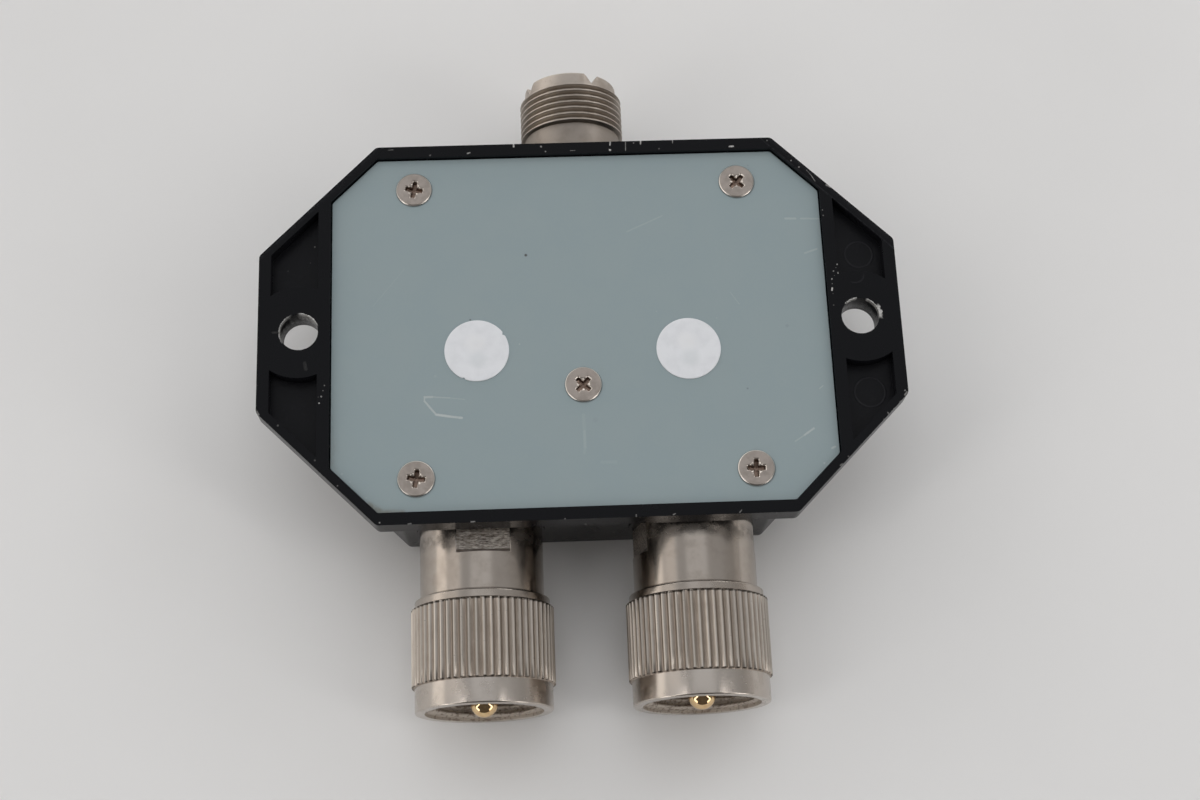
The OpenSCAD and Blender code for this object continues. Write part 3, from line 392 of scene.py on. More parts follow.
tint = satin.blend(mottle.ramp(0.3, 0.7) * 0.55, grey_coat, (0.285, 0.345, 0.357))
tint = satin.blend(fine.ramp(0.3, 0.7) * 0.12, tint, (0.25, 0.315, 0.34))
tint = satin.blend((stain * 0.6).most(left_dust * 0.18), tint, (0.17, 0.15, 0.11))
tint = satin.blend(light, tint, (0.56, 0.59, 0.58))
tint = satin.blend(dark_dot.most(screw_gap_shade * 0.6), tint, (0.05, 0.05, 0.05))
satin.give(
    Base_Color=tint,
    Roughness=0.38 + mottle * 0.1 + fine * 0.04 + light * 0.2,
    Normal=satin.bump(fine * 0.2 + mottle * 0.4 - hook * 0.5, 0.02),
)
satin.dress(parts["cover_plate"])
ease_edges(parts["cover_plate"], 0.12)

# Five countersunk cross-recessed screws in nickel-plated steel hold the cover.
# Each head stands a little above the paint and its edge is broken. The corners
# between the wings of its recess slope in.
head_r = 2.6
head_top = plate_top + 0.25
head_chamfer = 0.14
shank_r = 1.5
shank_end = 14.6
wing_reach = 1.42
wing_half = 0.34
recess_depth = 1.1


def skin(name, rings, closed=True):
    """A mesh through rings of points in millimetres, each ring closed on itself."""
    mesh = bpy.data.meshes.new(name)
    count = len(rings[0])
    points = [tuple(c * mm for c in p) for ring in rings for p in ring]
    faces = []
    for i in range(len(rings) if closed else len(rings) - 1):
        j = (i + 1) % len(rings)
        for k in range(count):
            n = (k + 1) % count
            faces.append((i * count + k, i * count + n, j * count + n, j * count + k))
    mesh.from_pydata(points, [], faces)
    work = bmesh.new()
    work.from_mesh(mesh)
    bmesh.ops.remove_doubles(work, verts=work.verts, dist=0.00000005)
    bmesh.ops.recalc_face_normals(work, faces=work.faces)
    work.to_mesh(mesh)
    work.free()
    mesh.shade_smooth()
    mesh.set_sharp_from_angle(angle=math.radians(38))
    made = bpy.data.objects.new(name, mesh)
    bpy.context.scene.collection.objects.link(made)
    return made


def step(value, low, high):
    share = min(1.0, max(0.0, (value - low) / (high - low)))
    return share * share * (3 - 2 * share)


def recess(u, v):
    """Depth of the cross recess at a point of the head, given along its two wings."""
    deep = recess_depth * (1 - step(math.hypot(u, v), 0.2, 0.5))
    for a, b in ((abs(u), abs(v)), (abs(v), abs(u))):
        along = math.hypot(a, max(0.0, b - 0.1))
        side = 1 - step(b, wing_half - 0.08, wing_half)
        end = 1 - step(along, wing_reach - 0.34, wing_reach - 0.04)
        splay = 0.5 - 0.75 * b - 1.5 * max(0.0, a - 0.75)
        edge = 0.11 * (1 - max(0.0, b - wing_half + 0.02, along - wing_reach + 0.1) / 0.12)
        deep = max(deep, side * end * (recess_depth - 0.3 * a), splay, edge)
    return deep


def screw_head(name, cx, cy, turn):
    radii = [0.02] + [0.05 * i for i in range(1, 33)] + [1.75, 2.0, 2.25, 2.4]
    radii += [head_r - head_chamfer, head_r - head_chamfer / 2, head_r]
    c, s = math.cos(math.radians(turn)), math.sin(math.radians(turn))
    spokes = [(math.cos(math.tau * k / 112), math.sin(math.tau * k / 112)) for k in range(112)]
    rings = []
    for r in radii:
        level = head_top - max(0.0, r - head_r + head_chamfer)
        ring = []
        for u, v in spokes:
            cut = recess(r * (u * c + v * s), r * (v * c - u * s))
            ring.append((cx + r * u, cy + r * v, level - cut))
        rings.append(ring)
    below = [(head_r, plate_top - 0.02), (shank_r, plate_top - 1.06), (shank_r - 0.05, shank_end),
             (0.02, shank_end)]
    for r, z in below:
        rings.append([(cx + r * u, cy + r * v, z) for u, v in spokes])
    return skin(name, rings, closed=False)


steel = Finish("screw_plating", Metallic=1.0)
at = steel.place()
scuff = steel.cloud(at, 0.16, 3)
dull = steel.cloud(at, 1.2, 3)
x, y, z = steel.parts_of(at)
# Deep in the recess the colour turns dark brown: painted shade.
deep = z.ramp(plate_top - 0.08, plate_top - 0.45)
# A pale band round the head's broken edge and the rims of the recess is partly rubbed bare metal and partly a
# painted highlight.
rubbed_and_highlit_edge = z.ramp(head_top - 0.02, head_top - 0.05) * z.ramp(head_top - 0.18, head_top - 0.13)
head_tint = steel.blend(dull.ramp(0.35, 0.7), (0.45, 0.395, 0.355), (0.37, 0.325, 0.29))
head_tint = steel.blend(scuff.ramp(0.66, 0.78) * 0.6, head_tint, (0.24, 0.2, 0.17))
head_tint = steel.blend(rubbed_and_highlit_edge * 0.8, head_tint, (0.88, 0.83, 0.77))
steel.give(
    Base_Color=steel.blend(deep * 0.75, head_tint, (0.24, 0.155, 0.115)),
    Roughness=0.3 + dull * 0.12,
    Normal=steel.bump(scuff, 0.012),
)
for name, (cx, cy, turn) in screw_turns.items():
    head = screw_head("cover_screw_" + name, cx, cy, turn)
    steel.dress(head)
    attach(head, "case")
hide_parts("cover_screws")

# Two discs of white vinyl film seal the tuning holes. They were punched out and
# pressed on by hand, so each sags into its hole, and the left one is nicked in
# two places. A painted highlight makes each paler above its dent and painted
# shade greyer below it.
film_r = 4.65
film_t = 0.16

# Each seal's middle, the deepest point of its sag, and its nicks as (degrees, half width).
seals = {
    "left": (-15.15, -3.4, (-0.1, 0.1), ((32, 0.07), (245, 0.05))),
    "right": (15.4, -4.0, (0.1, 0.3), ()),
}


def lip(r, full_r, reach, drop):
    """How far a rounded edge has dropped at radius r."""
    return drop * (1 - math.sqrt(max(0.0, 1 - (max(0.0, r - full_r + reach) / (reach * 1.01)) ** 2)))


def film(name, cx, cy, dip, nicks):
    """A thin disc: its sag goes down into the hole, and its underside follows."""
    spokes = [math.tau * k / 180 for k in range(180)]
    top, under = [], []
    for r in [0.02] + [0.14 * i for i in range(1, 31)] + [4.3, 4.42, 4.5, 4.56, 4.6, 4.63, film_r]:
        ring = []
        for a in spokes:
            cut = 0.0
            for at_angle, wide in nicks:
                off = abs((a - math.radians(at_angle) + math.pi) % math.tau - math.pi)
                cut = max(cut, 0.055 * max(0.0, 1 - off / wide) * step(r, 4.2, film_r))
            u, v = r * (1 - cut) * math.cos(a), r * (1 - cut) * math.sin(a)
            sag = 0.3 * math.exp(-((math.hypot(u - dip[0], v - dip[1]) / 1.45) ** 2))
            swell = 0.012 * math.sin(a * 3 + cx) * step(r, 1.0, 3.5) * (1 - step(r, 3.9, 4.5))
            ring.append((cx + u, cy + v, plate_top + film_t - sag + swell - lip(r, film_r, 0.15, 0.05)))
        top.append(ring)
        under.append([(px, py, min(plate_top, pz - 0.06)) for px, py, pz in ring])
    return skin(name, top + under[::-1], closed=False)


vinyl = Finish("white_vinyl", IOR=1.46)
at = vinyl.place()
haze = vinyl.cloud(at, 1.8, 4)
web = vinyl.cloud(at, 0.3, 2)
white = vinyl.blend(haze.ramp(0.35, 0.7), (0.765, 0.78, 0.81), (0.72, 0.735, 0.765))
for cx, cy, dip, nicks in seals.values():
    # Painted highlight above each dent and painted shade below it.
    painted_dent_highlight = vinyl.far_from(at, (cx - 0.2, cy + 1.1, plate_top)).ramp(2.0, 0.6)
    painted_dent_shade = vinyl.far_from(at, (cx + 0.2, cy - 1.4, plate_top)).ramp(1.9, 0.5)
    white = vinyl.blend(painted_dent_highlight * 0.75, white, (0.83, 0.84, 0.86))
    white = vinyl.blend(painted_dent_shade * 0.75, white, (0.65, 0.675, 0.7))
vinyl.give(
    Base_Color=white,
    Roughness=0.27 + haze * 0.12,
    Normal=vinyl.bump(web * 0.4 + haze, 0.02),
)
for side, (cx, cy, dip, nicks) in seals.items():
    disc = film(side + "_film_disc", cx, cy, dip, nicks)
    vinyl.dress(disc)
    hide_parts(side + "_tuning_seal")
    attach(disc, "case")

# The socket is turned from brass and nickel-plated. Its thread has a pitch of
# 1 mm, and four V notches in its end take the teeth of a plug. A nut inside the
# wall holds it. The plating has gone brown and dull with age.
axis_h = 10.5
pitch = 1.0
wall_y = 27.2
neck_r = 7.38
neck_end = 35.4
first_crest = 35.9
thread_end = 42.3
thread_r = 7.98
thread_depth = 0.61
rim_y = ends_of("socket_shell", 1)[1]
end_r = 7.15
socket_bore_r = 6.45
core_face = 38.8
core_back = 28.7
core_r = 5.2
tail_bore_r = 3.5
spigot_r = 5.0
spigot_back = 22.5
notch_turn = 27
notch_deep = 1.6
notch_half = 1.2


def eased_profile(corners, steps=4):
    """Outline of a turned piece from corners given as (distance, radius, edge radius)."""
    made = []
    for i, (d, r, ease) in enumerate(corners):
        before, after = corners[i - 1], corners[(i + 1) % len(corners)]
        p = Vector((d, r))
        into, out = Vector(before[:2]) - p, Vector(after[:2]) - p
        if ease <= 0:
            made.append((d, r))
            continue
        into.normalize()
        out.normalize()
        half = into.angle(out) / 2
        cut = ease / math.tan(half)
        centre = p + (into + out).normalized() * (ease / math.sin(half))
        a, b = p + into * cut - centre, p + out * cut - centre
        for k in range(steps + 1):
            share = k / steps
            arm = (a * (1 - share) + b * share).normalized() * ease
            made.append(tuple(centre + arm))
    return made


def around(x0, d, r, a):
    """The point at distance d along a connector's axis, at radius r, turned a from the top towards +X."""
    return (x0 + r * math.sin(a), d, axis_h + r * math.cos(a))


def lathe(name, x0, outline, angles):
    return skin(name, [[around(x0, d, r, a) for a in angles] for d, r in outline], closed=False)


def by_axis(finish, point, axis_x):
    """Where a point lies along the nearest connector, and how far from its axis."""
    x, y, z = finish.parts_of(point)
    beside, above = abs(x) - axis_x, z - axis_h
    return y, (beside * beside + above * above) ** 0.5


def aged_nickel(name, axis_x, joint_y=99.0):
    """Aged nickel plate over turned brass. Dirt lies at joint_y, where the piece meets its
    neighbour. Left as it is, that lies far off the piece, which then has none."""
    plate = Finish(name, Metallic=1.0)
    at = plate.place()
    y, from_axis = by_axis(plate, at, axis_x)
    turned = plate.node("ShaderNodeMapping", {}, {"Vector": at, "Scale": (0.1, 7.0, 0.1)})
    lines = plate.cloud(turned, 1.0, 3, 0.6)
    patch = plate.cloud(at, 2.8, 4, 0.6)
    spots = plate.cloud(at, 0.42, 3, 0.6)
    tarnish = patch.ramp(0.42, 0.72)
    dirt = abs(abs(y) - joint_y).ramp(1.6, 0.1) * plate.cloud(at, 1.3, 3).ramp(0.25, 0.65)
    tint = plate.blend(tarnish * 0.5, (0.47, 0.418, 0.37), (0.36, 0.31, 0.265))
    tint = plate.blend(spots.ramp(0.66, 0.78) * 0.45, tint, (0.22, 0.18, 0.145))
    tint = plate.blend(dirt * 0.6, tint, (0.14, 0.125, 0.11))
    return plate, at, y, from_axis, lines, tarnish, dirt, tint


def thread_form(d, a, root, crest, low, high):
    """Radius on a right-hand thread that fades in and out at its two ends."""
    phase = ((d - first_crest) / pitch + 0.5 - a / math.tau) % 1.0
    form = min(1.0, max(0.0, (0.5 - abs(phase - 0.5)) * 2.9 - 0.14))
    fade = step(d, low, low + 0.25) * (1 - step(d, high - 0.3, high))
    return root + (crest - root) * form * fade


def notched(d, r, a):
    """Pulls a point near the rim back to the V notches' flanks."""
    floor = rim_y
    for n in range(4):
        off = math.radians(((math.degrees(a) - notch_turn - 90 * n + 180) % 360) - 180)
        if abs(off) < 0.6:
            floor = min(floor, rim_y - notch_deep * max(0.0, 1 - abs(r * math.sin(off)) / notch_half))
    return min(d, floor)


plate, at, y, from_axis, lines, tarnish, dirt, tint = aged_nickel("socket_nickel", 0, wall_y)
# Painted shade: the thread is darker towards its roots.
thread_root_shade = from_axis.ramp(thread_r - 0.18, thread_r - 0.56) * (y > neck_end) * (y < thread_end)
# Painted shade: the neck under the thread is made darker and browner, and a little rougher.
shaded_neck = y.ramp(neck_end + 0.05, neck_end - 0.1)
tint = plate.blend(shaded_neck * 0.6, tint, (0.24, 0.21, 0.185))
plate.give(
    Base_Color=plate.blend(thread_root_shade * 0.55, tint, (0.24, 0.2, 0.16)),
    Roughness=0.36 + tarnish * 0.14 + dirt * 0.2 + lines * 0.08 + shaded_neck * 0.06,
    Normal=plate.bump(lines, 0.006),
)

# Extra spokes at the middle and the edges of each notch keep its flanks straight.
turns = set(360 * k / 144 for k in range(144))
turns |= set((notch_turn + 90 * n + o) % 360 for n in range(4) for o in (-10.7, -9.6, 0, 9.6, 10.7))
turns = [math.radians(t) for t in sorted(turns)]
outside = eased_profile([(spigot_back, spigot_r, 0), (wall_y, spigot_r, 0), (wall_y, neck_r, 0.1),
                         (neck_end, neck_r, 0)])
collar = eased_profile([(thread_end - 0.02, end_r, 0), (rim_y, end_r, 0.22),
                        (rim_y, socket_bore_r + 0.02, 0.12), (core_face, socket_bore_r, 0),
                        (core_face, core_r, 0)])
rings = [[around(0, d, r, a) for a in turns] for d, r in outside]
samples = int((thread_end - neck_end) / pitch * 22)
for i in range(1, samples):
    d = neck_end + (thread_end - neck_end) * i / samples
    cuts = [thread_form(d, a, thread_r - thread_depth, thread_r, neck_end, thread_end) for a in turns]
    rings.append([around(0, d, r, a) for r, a in zip(cuts, turns)])
rings += [[around(0, notched(d, r, a), r, a) for a in turns] for d, r in collar]
core_seat = [(core_back, core_r), (core_back, tail_bore_r), (spigot_back, tail_bore_r)]
rings += [[around(0, d, r, a) for a in turns] for d, r in core_seat]
shell = skin("socket_turned_shell", rings)
plate.dress(shell)
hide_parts("socket_shell")
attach(shell, "case")

plate, at, y, from_axis, lines, tarnish, dirt, tint = aged_nickel("lock_nut_nickel", 0)
plate.give(Base_Color=tint, Roughness=0.3 + tarnish * 0.15, Normal=plate.bump(lines, 0.006))
plate.dress(parts["socket_lock_nut"])
steel.dress(parts["socket_lock_washer"])

# Each connector has a core of white fluoropolymer, turned and pressed in, which
# holds a gold-plated pin or a slotted contact in the middle of the shell.
plug_x = 15.5
plugs = {"left": -plug_x, "right": plug_x}
pin_r = 1.98
pin_tip = ends_of("left_plug_pin", 1)[0]
tail_r = 1.2
tail_end = -15.2
stem_r = 1.7
plug_core_back = -30.4
plug_core_front = -44.7

core = Finish("white_fluoropolymer", IOR=1.38)
at = core.place()
wax = core.cloud(at, 0.9, 3)
core.give(
    Base_Color=core.blend(wax.ramp(0.35, 0.7), (0.72, 0.7, 0.64), (0.6, 0.57, 0.5)),
    Roughness=0.36 + wax * 0.14,
    Normal=core.bump(wax, 0.01),
)
core.dress(parts["socket_insulator"], parts["left_plug_insulator"], parts["right_plug_insulator"])

gold = Finish("gold_plate", Metallic=1.0)
at = gold.place()
rub = gold.cloud(at, 0.5, 3)
gold.give(
    Base_Color=gold.blend(rub.ramp(0.4, 0.75), (0.8, 0.585, 0.33), (0.68, 0.46, 0.24)),
    Roughness=0.03 + rub * 0.06,
    Normal=gold.bump(rub, 0.003),
)
gold.dress(parts["socket_contact"])
for side, x0 in plugs.items():
    outline = [(tail_end, 0.02), (tail_end, tail_r), (plug_core_back, tail_r), (plug_core_back, stem_r),
               (plug_core_front, stem_r), (plug_core_front, pin_r)]
    for k in range(20):
        a = math.tau / 4 * k / 20
        outline.append((pin_tip + pin_r * (1 - math.sin(a)), pin_r * math.cos(a)))
    outline.append((pin_tip, 0.01))
    pin = lathe(side + "_gilt_pin", x0, outline, [math.tau * k / 72 for k in range(72)])
    gold.dress(pin)
    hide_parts(side + "_plug_pin")
    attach(pin, "case")

# Each plug barrel is turned from brass with two wrench flats, screwed into the
# wall and nickel-plated. The flats still show the coarse cut of the saw.
flat_end = 32.0
barrel_r = 8.95
barrel, at, y, from_axis, lines, tarnish, dirt, tint = aged_nickel("barrel_nickel", plug_x, 29.6)
on_flat = (from_axis < barrel_r - 0.06) * (y > 0.06 - flat_end)
# Dark lines at the end of each flat and just behind the nut: painted shade, with dirt.
step_line = abs(y + flat_end - 0.3).ramp(0.3, 0.12) * (from_axis < barrel_r - 0.02)
nut_line = abs(y + 37.3).ramp(0.2, 0.1)
saw = barrel.cloud(barrel.node("ShaderNodeMapping", {}, {"Vector": at, "Rotation": (0.0, 0.0, 0.5),
                                                         "Scale": (1.2, 4.2, 4.2)}), 1.0, 3, 0.7)
sawn = barrel.blend(saw.ramp(0.48, 0.62), (0.42, 0.37, 0.325), (0.72, 0.67, 0.61))
tint = barrel.blend(on_flat, tint, sawn)
dark_lines = (on_flat * saw.ramp(0.45, 0.36) * 0.8).most(step_line * 0.85).most(nut_line * 0.6)
tint = barrel.blend(dark_lines, tint, (0.11, 0.085, 0.07))
barrel.give(
    Base_Color=tint,
    Roughness=0.16 + tarnish * 0.1 + dirt * 0.16 + on_flat * 0.26,
    Normal=barrel.bump(lines * 0.12 + on_flat * saw * 3.0, 0.03),
)
barrel.dress(parts["left_plug_barrel"], parts["right_plug_barrel"])

# A split ring of spring steel wire lies in a groove round each barrel and in one
# inside its nut. It snaps open as the nut is pushed on, and holds it there.
spring = Finish("spring_wire", Metallic=1.0)
at = spring.place()
oil = spring.cloud(at, 0.8, 3)
spring.give(Base_Color=spring.blend(oil, (0.36, 0.36, 0.37), (0.22, 0.21, 0.2)), Roughness=0.28 + oil * 0.15)
spring.dress(parts["left_snap_ring"], parts["right_snap_ring"])

# A coupling nut spins on each barrel, held by the snap ring. It is turned from
# brass, rolled with a straight knurl of sixty ribs, threaded inside to take a
# socket, and nickel-plated. Dirt lies between and behind the ribs, deepened there
# by painted shade, and the ribs' crests carry a painted highlight.
ribs = 60
per_rib = 12
nut_front, nut_rear = ends_of("left_coupling_nut", 1)
knurl_rear = nut_rear - 1.1
knurl_front = nut_front + 3.5
rib_crest = 10.28
rib_root = 9.96
collar_r = 9.75
rear_bore_r = 8.99
band_r = 9.85
bore_r = 7.45
mouth_r = 8.45
mouth_deep = 0.5
rib_rise = 0.22
mid_knurl = (-41.0, -44.2, -47.4)
threaded = 8.5
thread_back = nut_front + threaded
relief_r = 8.2
run_r = 9.05
shoulder_y = -41.9
groove_y = (-40.2, -38.9)
groove_r = 9.47

knurled, at, y, from_axis, lines, tarnish, dirt, tint = aged_nickel("coupling_nickel", plug_x)
on_knurl = (y > knurl_front) * (y < knurl_rear)
between_ribs_shade_and_dirt = from_axis.ramp(rib_crest - 0.08, rib_root + 0.05) * on_knurl
crest = from_axis.ramp(rib_crest - 0.1, rib_crest - 0.02) * on_knurl
inside = from_axis.ramp(mouth_r + 0.05, mouth_r - 0.03)
crumbs = knurled.cloud(at, 0.5, 3)
# Painted shade, with some dirt: near-black specks where the ribs rise from the plain metal at both ends.
rear_end_shade_and_grime = abs(y - knurl_rear + 0.1).ramp(0.4, 0.25) * from_axis.ramp(9.82, 9.9) * crumbs.ramp(0.35, 0.5)
front_end_shade_and_grime = abs(y - knurl_front - 0.05).ramp(0.3, 0.15) * from_axis.ramp(10.0, 10.1)
rib_end_shade_and_grime = rear_end_shade_and_grime.most(front_end_shade_and_grime * crumbs.ramp(0.4, 0.55))
# The slopes between the ribs are darker and browner: dirt, and painted shade.
tint = knurled.blend(between_ribs_shade_and_dirt * 0.75, tint, (0.31, 0.255, 0.21))
# Painted highlight: the ribs' crests are made paler.
tint = knurled.blend(crest * 0.65, tint, (0.64, 0.595, 0.535))
tint = knurled.blend(y.ramp(knurl_front + 0.05, knurl_front - 0.05) * 0.3, tint, (0.7, 0.65, 0.6))
tint = knurled.blend(inside * 0.8, tint, (0.5, 0.44, 0.38))
tint = knurled.blend(inside * crumbs.ramp(0.5, 0.62) * 0.75, tint, (0.17, 0.125, 0.09))
knurled.give(
    Base_Color=knurled.blend(rib_end_shade_and_grime * 0.9, tint, (0.035, 0.028, 0.022)),
    Metallic=1 - inside * 0.55,
    Roughness=0.18 + tarnish * 0.12 + lines * 0.04 + on_knurl * 0.08 + between_ribs_shade_and_dirt * 0.14 + inside * 0.3,
    Normal=knurled.bump(lines, 0.005),
)


def ribbed(d, a, plain):
    """Radius on the knurl; the ribs rise from the plain metal at both ends."""
    share = abs(((a / math.tau * ribs) % 1.0) - 0.5) * 2
    top = rib_root + (rib_crest - rib_root) * max(0.0, 1 - max(0.0, share - 0.16) / 0.8) ** 1.4
    climb = min((knurl_rear - d) / rib_rise, (d - knurl_front) / rib_rise, 1.0)
    return plain + (top - plain) * step(climb, 0.0, 1.0)


for side, x0 in plugs.items():
    angles = [math.tau * k / (ribs * per_rib) for k in range(ribs * per_rib)]
    rear = eased_profile([(groove_y[1], run_r, 0), (nut_rear - 0.3, rear_bore_r, 0),
                          (nut_rear, rear_bore_r, 0.02), (nut_rear, collar_r, 0.22),
                          (knurl_rear + 0.01, collar_r, 0)])
    front = eased_profile([(knurl_front - 0.01, band_r, 0), (nut_front, band_r, 0.24),
                           (nut_front, mouth_r, 0.05), (nut_front + 0.12, mouth_r, 0)])
    rings = [[around(x0, d, r, a) for a in angles] for d, r in rear]
    rises = [rib_rise * i / 4 for i in range(5)]
    knurl = [(knurl_rear - rise, collar_r) for rise in rises] + [(d, band_r) for d in mid_knurl]
    knurl += [(knurl_front + rise, band_r) for rise in rises[::-1]]
    rings += [[around(x0, d, ribbed(d, a, plain), a) for a in angles] for d, plain in knurl]
    rings += [[around(x0, d, r, a) for a in angles] for d, r in front]
    body = skin(side + "_knurled_nut", rings, closed=False)
    coarse = [math.tau * k / 144 for k in range(144)]
    rings = []
    for i in range(int(threaded / pitch * 14) + 1):
        d = nut_front + 0.12 + pitch / 14 * i
        cone = mouth_r - step(d - nut_front, mouth_deep, mouth_deep + 0.15) * (mouth_r - bore_r)
        cuts = [thread_form(d, a, bore_r + thread_depth, bore_r, nut_front - 1, thread_back) for a in coarse]
        rings.append([around(x0, d, max(cone, r), a) for r, a in zip(cuts, coarse)])
    behind = [(thread_back + 0.12, relief_r), (shoulder_y, relief_r), (shoulder_y, run_r),
              (groove_y[0], run_r), (groove_y[0], groove_r), (groove_y[1], groove_r), (groove_y[1], run_r)]
    rings += [[around(x0, d, r, a) for a in coarse] for d, r in behind]
    lining = skin(side + "_nut_thread", rings, closed=False)
    for piece in (body, lining):
        knurled.dress(piece)
        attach(piece, side + "_nut")
    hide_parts(side + "_coupling_nut")

# Inside, the two filters share a board of glass-epoxy laminate: air-wound coils
# of enamelled copper, disc capacitors, and two trimmers under the tuning holes.
# Tinned lugs bring the connectors' tails down to the board.
laminate = Finish("glass_epoxy", IOR=1.5)
at = laminate.place()
weave = laminate.node("ShaderNodeTexWave", {"wave_type": "BANDS", "bands_direction": "X"},
                      {"Vector": at, "Scale": 1.6, "Distortion": 1.0})
mask = laminate.cloud(at, 5.0, 2).ramp(0.48, 0.5)
laminate.give(
    Base_Color=laminate.blend(mask * 0.5 + weave * 0.2, (0.17, 0.21, 0.06), (0.1, 0.16, 0.05)),
    Roughness=0.4 + mask * 0.1,
    Normal=laminate.bump(weave, 0.01),
)
laminate.dress(parts["circuit_board"])


def plain_stuff(name, size, one, other, rough, uneven=0.0, **constants):
    """A finish that varies softly between two colours, for the pieces inside."""
    made = Finish(name, **constants)
    at = made.place()
    patch = made.cloud(at, size, 3)
    made.give(Base_Color=made.blend(patch, one, other), Roughness=rough + patch * 0.15)
    if uneven:
        made.give(Normal=made.bump(patch, uneven))
    return made


tinned = plain_stuff("tinned_brass", 0.8, (0.62, 0.6, 0.56), (0.45, 0.43, 0.39), 0.24, Metallic=1.0)
tinned.dress(parts["solder_lugs"], parts["left_trimmer_rotor"], parts["right_trimmer_rotor"])
steel.dress(parts["board_screws"])
copper = plain_stuff("enamelled_copper", 0.6, (0.6, 0.26, 0.11), (0.42, 0.15, 0.06), 0.2, Metallic=0.9)
copper.dress(parts["low_band_coils"], parts["high_band_coils"])
dipped = plain_stuff("dipped_ceramic", 0.5, (0.5, 0.27, 0.09), (0.4, 0.2, 0.06), 0.32, uneven=0.03)
dipped.dress(parts["low_band_capacitors"], parts["high_band_capacitors"])
moulded = plain_stuff("trimmer_moulding", 0.7, (0.7, 0.66, 0.52), (0.6, 0.55, 0.42), 0.42, uneven=0.01)
moulded.dress(parts["left_trimmer_base"], parts["right_trimmer_base"])

# The case lies on a plain pale board, in the even light of a room with windows
# round it. Five wide soft lamps light it. The room that polished metal mirrors
# is painted on the sky, so three of the lamps don't show in mirrors themselves.
floor_mesh = bpy.data.meshes.new("floor")
floor_mesh.from_pydata([(-3, -3, 0), (3, -3, 0), (3, 3, 0), (-3, 3, 0)], [], [(0, 1, 2, 3)])
floor = bpy.data.objects.new("floor", floor_mesh)
floor.location.z = -0.00004
bpy.context.scene.collection.objects.link(floor)
board_paint = Finish("pale_board", Roughness=0.7)
brushed = board_paint.cloud(board_paint.place(), 40.0, 3)
board_paint.give(Base_Color=board_paint.blend(brushed, (0.85, 0.845, 0.84), (0.81, 0.805, 0.8)))
board_paint.dress(floor)


def soft_lamp(name, place, width, height, power, colour, mirrored=True):
    lamp = bpy.data.lights.new(name, "AREA")
    lamp.shape = "RECTANGLE"
    lamp.size = width
    lamp.size_y = height
    lamp.energy = power
    lamp.color = colour
    hung = bpy.data.objects.new(name, lamp)
    hung.location = place
    hung.visible_glossy = mirrored
    hung.rotation_mode = "QUATERNION"
    hung.rotation_quaternion = (-Vector(place)).to_track_quat("-Z", "Y")
    bpy.context.scene.collection.objects.link(hung)


soft_lamp("front_window", (0.1, -1.6, 1.15), 1.6, 0.6, 3.4, (0.99, 0.995, 1.0), mirrored=False)
soft_lamp("ceiling_lamp", (0.0, 0.5, 1.9), 1.2, 1.2, 4.3, (0.99, 0.995, 1.0), mirrored=False)
soft_lamp("rear_left_window", (-1.1, 1.5, 1.0), 0.9, 0.7, 2.1, (0.98, 0.99, 1.0))
soft_lamp("rear_right_window", (1.2, 1.4, 1.0), 0.9, 0.7, 3.6, (0.98, 0.99, 1.0))
soft_lamp("right_window", (1.6, -0.1, 0.9), 1.2, 0.6, 1.0, (0.98, 0.99, 1.0), mirrored=False)

sky = bpy.data.worlds.new("room")
sky.use_nodes = True
bpy.context.scene.world = sky
room = Recipe(sky.node_tree)
dx, dy, dz = room.parts_of(room.node("ShaderNodeTexCoord", out="Generated"))
tone = room.blend(dz.ramp(0.1, 0.85), (0.47, 0.455, 0.44), (0.68, 0.69, 0.704))

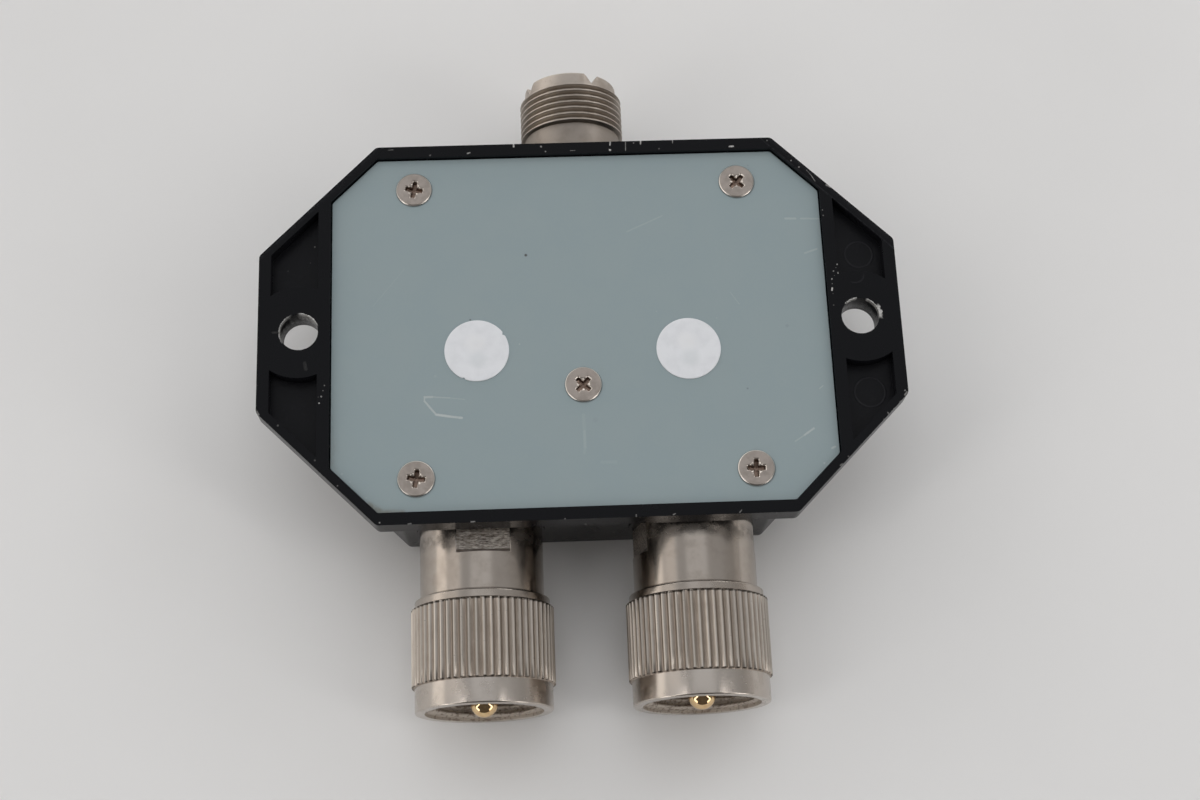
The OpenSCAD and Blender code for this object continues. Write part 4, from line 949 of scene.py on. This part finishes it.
# A sunlit wall on the left, a darker one on the right, a beam under the ceiling and a dark front.
left_wall = dx.ramp(-0.5, -0.72) * dz.ramp(0.46, 0.34)
tone = room.blend(left_wall, tone, (1.25, 1.2, 1.14))
beam = abs(dx + 0.45).ramp(0.2, 0.06) * dz.ramp(0.3, 0.6)
right_wall = dx.ramp(0.24, 0.42) * dz.ramp(0.16, 0.3)
tone = room.blend((beam * 0.45).most(right_wall * 0.5), tone, (0.2, 0.195, 0.19))
toward_front = dy.ramp(-0.05, -0.2)
tone = room.blend(toward_front * 0.95, tone, (0.07, 0.063, 0.057))

# Windows at both sides, a pane on the left, and low ones in front and behind.
side_windows = abs(dx).ramp(0.46, 0.54) * abs(dy + abs(dx) * 0.9 - 0.4).ramp(0.08, 0.05) * dz.ramp(0.1, 0.2)
tone = room.blend(side_windows, tone, (4.4, 4.3, 4.2))
left_pane = abs(dx + 0.74).ramp(0.16, 0.08) * abs(dy - 0.28).ramp(0.3, 0.2) * dz.ramp(0.4, 0.5)
tone = room.blend(left_pane, tone, (0.82, 0.795, 0.77))
low_windows = toward_front * abs(abs(dx) - 0.74).ramp(0.2, 0.14) * abs(dz - 0.2).ramp(0.17, 0.12)
tone = room.blend(low_windows, tone, (2.4, 2.35, 2.3))
rear_windows = dy.ramp(0.45, 0.55) * abs(dx).ramp(0.8, 0.7) * abs(dz - 0.1).ramp(0.16, 0.1)
tone = room.blend(rear_windows, tone, (2.4, 2.35, 2.3))
background = sky.node_tree.nodes["Background"]
room.join(tone, background.inputs["Color"])
background.inputs["Strength"].default_value = 1.0

# The camera stands in front of the plugs and looks down at the cover.
lens = bpy.data.cameras.new("camera")
lens.sensor_width = 36.0
lens.lens = 52.49
lens.clip_start = 0.01
lens.clip_end = 20.0
eye = bpy.data.objects.new("camera", lens)
across = Vector((0.99895046, -0.03992892, 0.02244223))
down = Vector((-0.03086912, -0.94886704, -0.31416308))
ahead = Vector((0.03383889, 0.31314058, -0.94910374))
stand = Matrix((across, -down, -ahead)).transposed().to_4x4()
stand.translation = (-0.0061686, -0.089697, 0.2604483)
eye.matrix_world = stand
bpy.context.scene.collection.objects.link(eye)
bpy.context.scene.camera = eye
bpy.context.scene.view_settings.view_transform = "Standard"

bpy.context.view_layer.update()
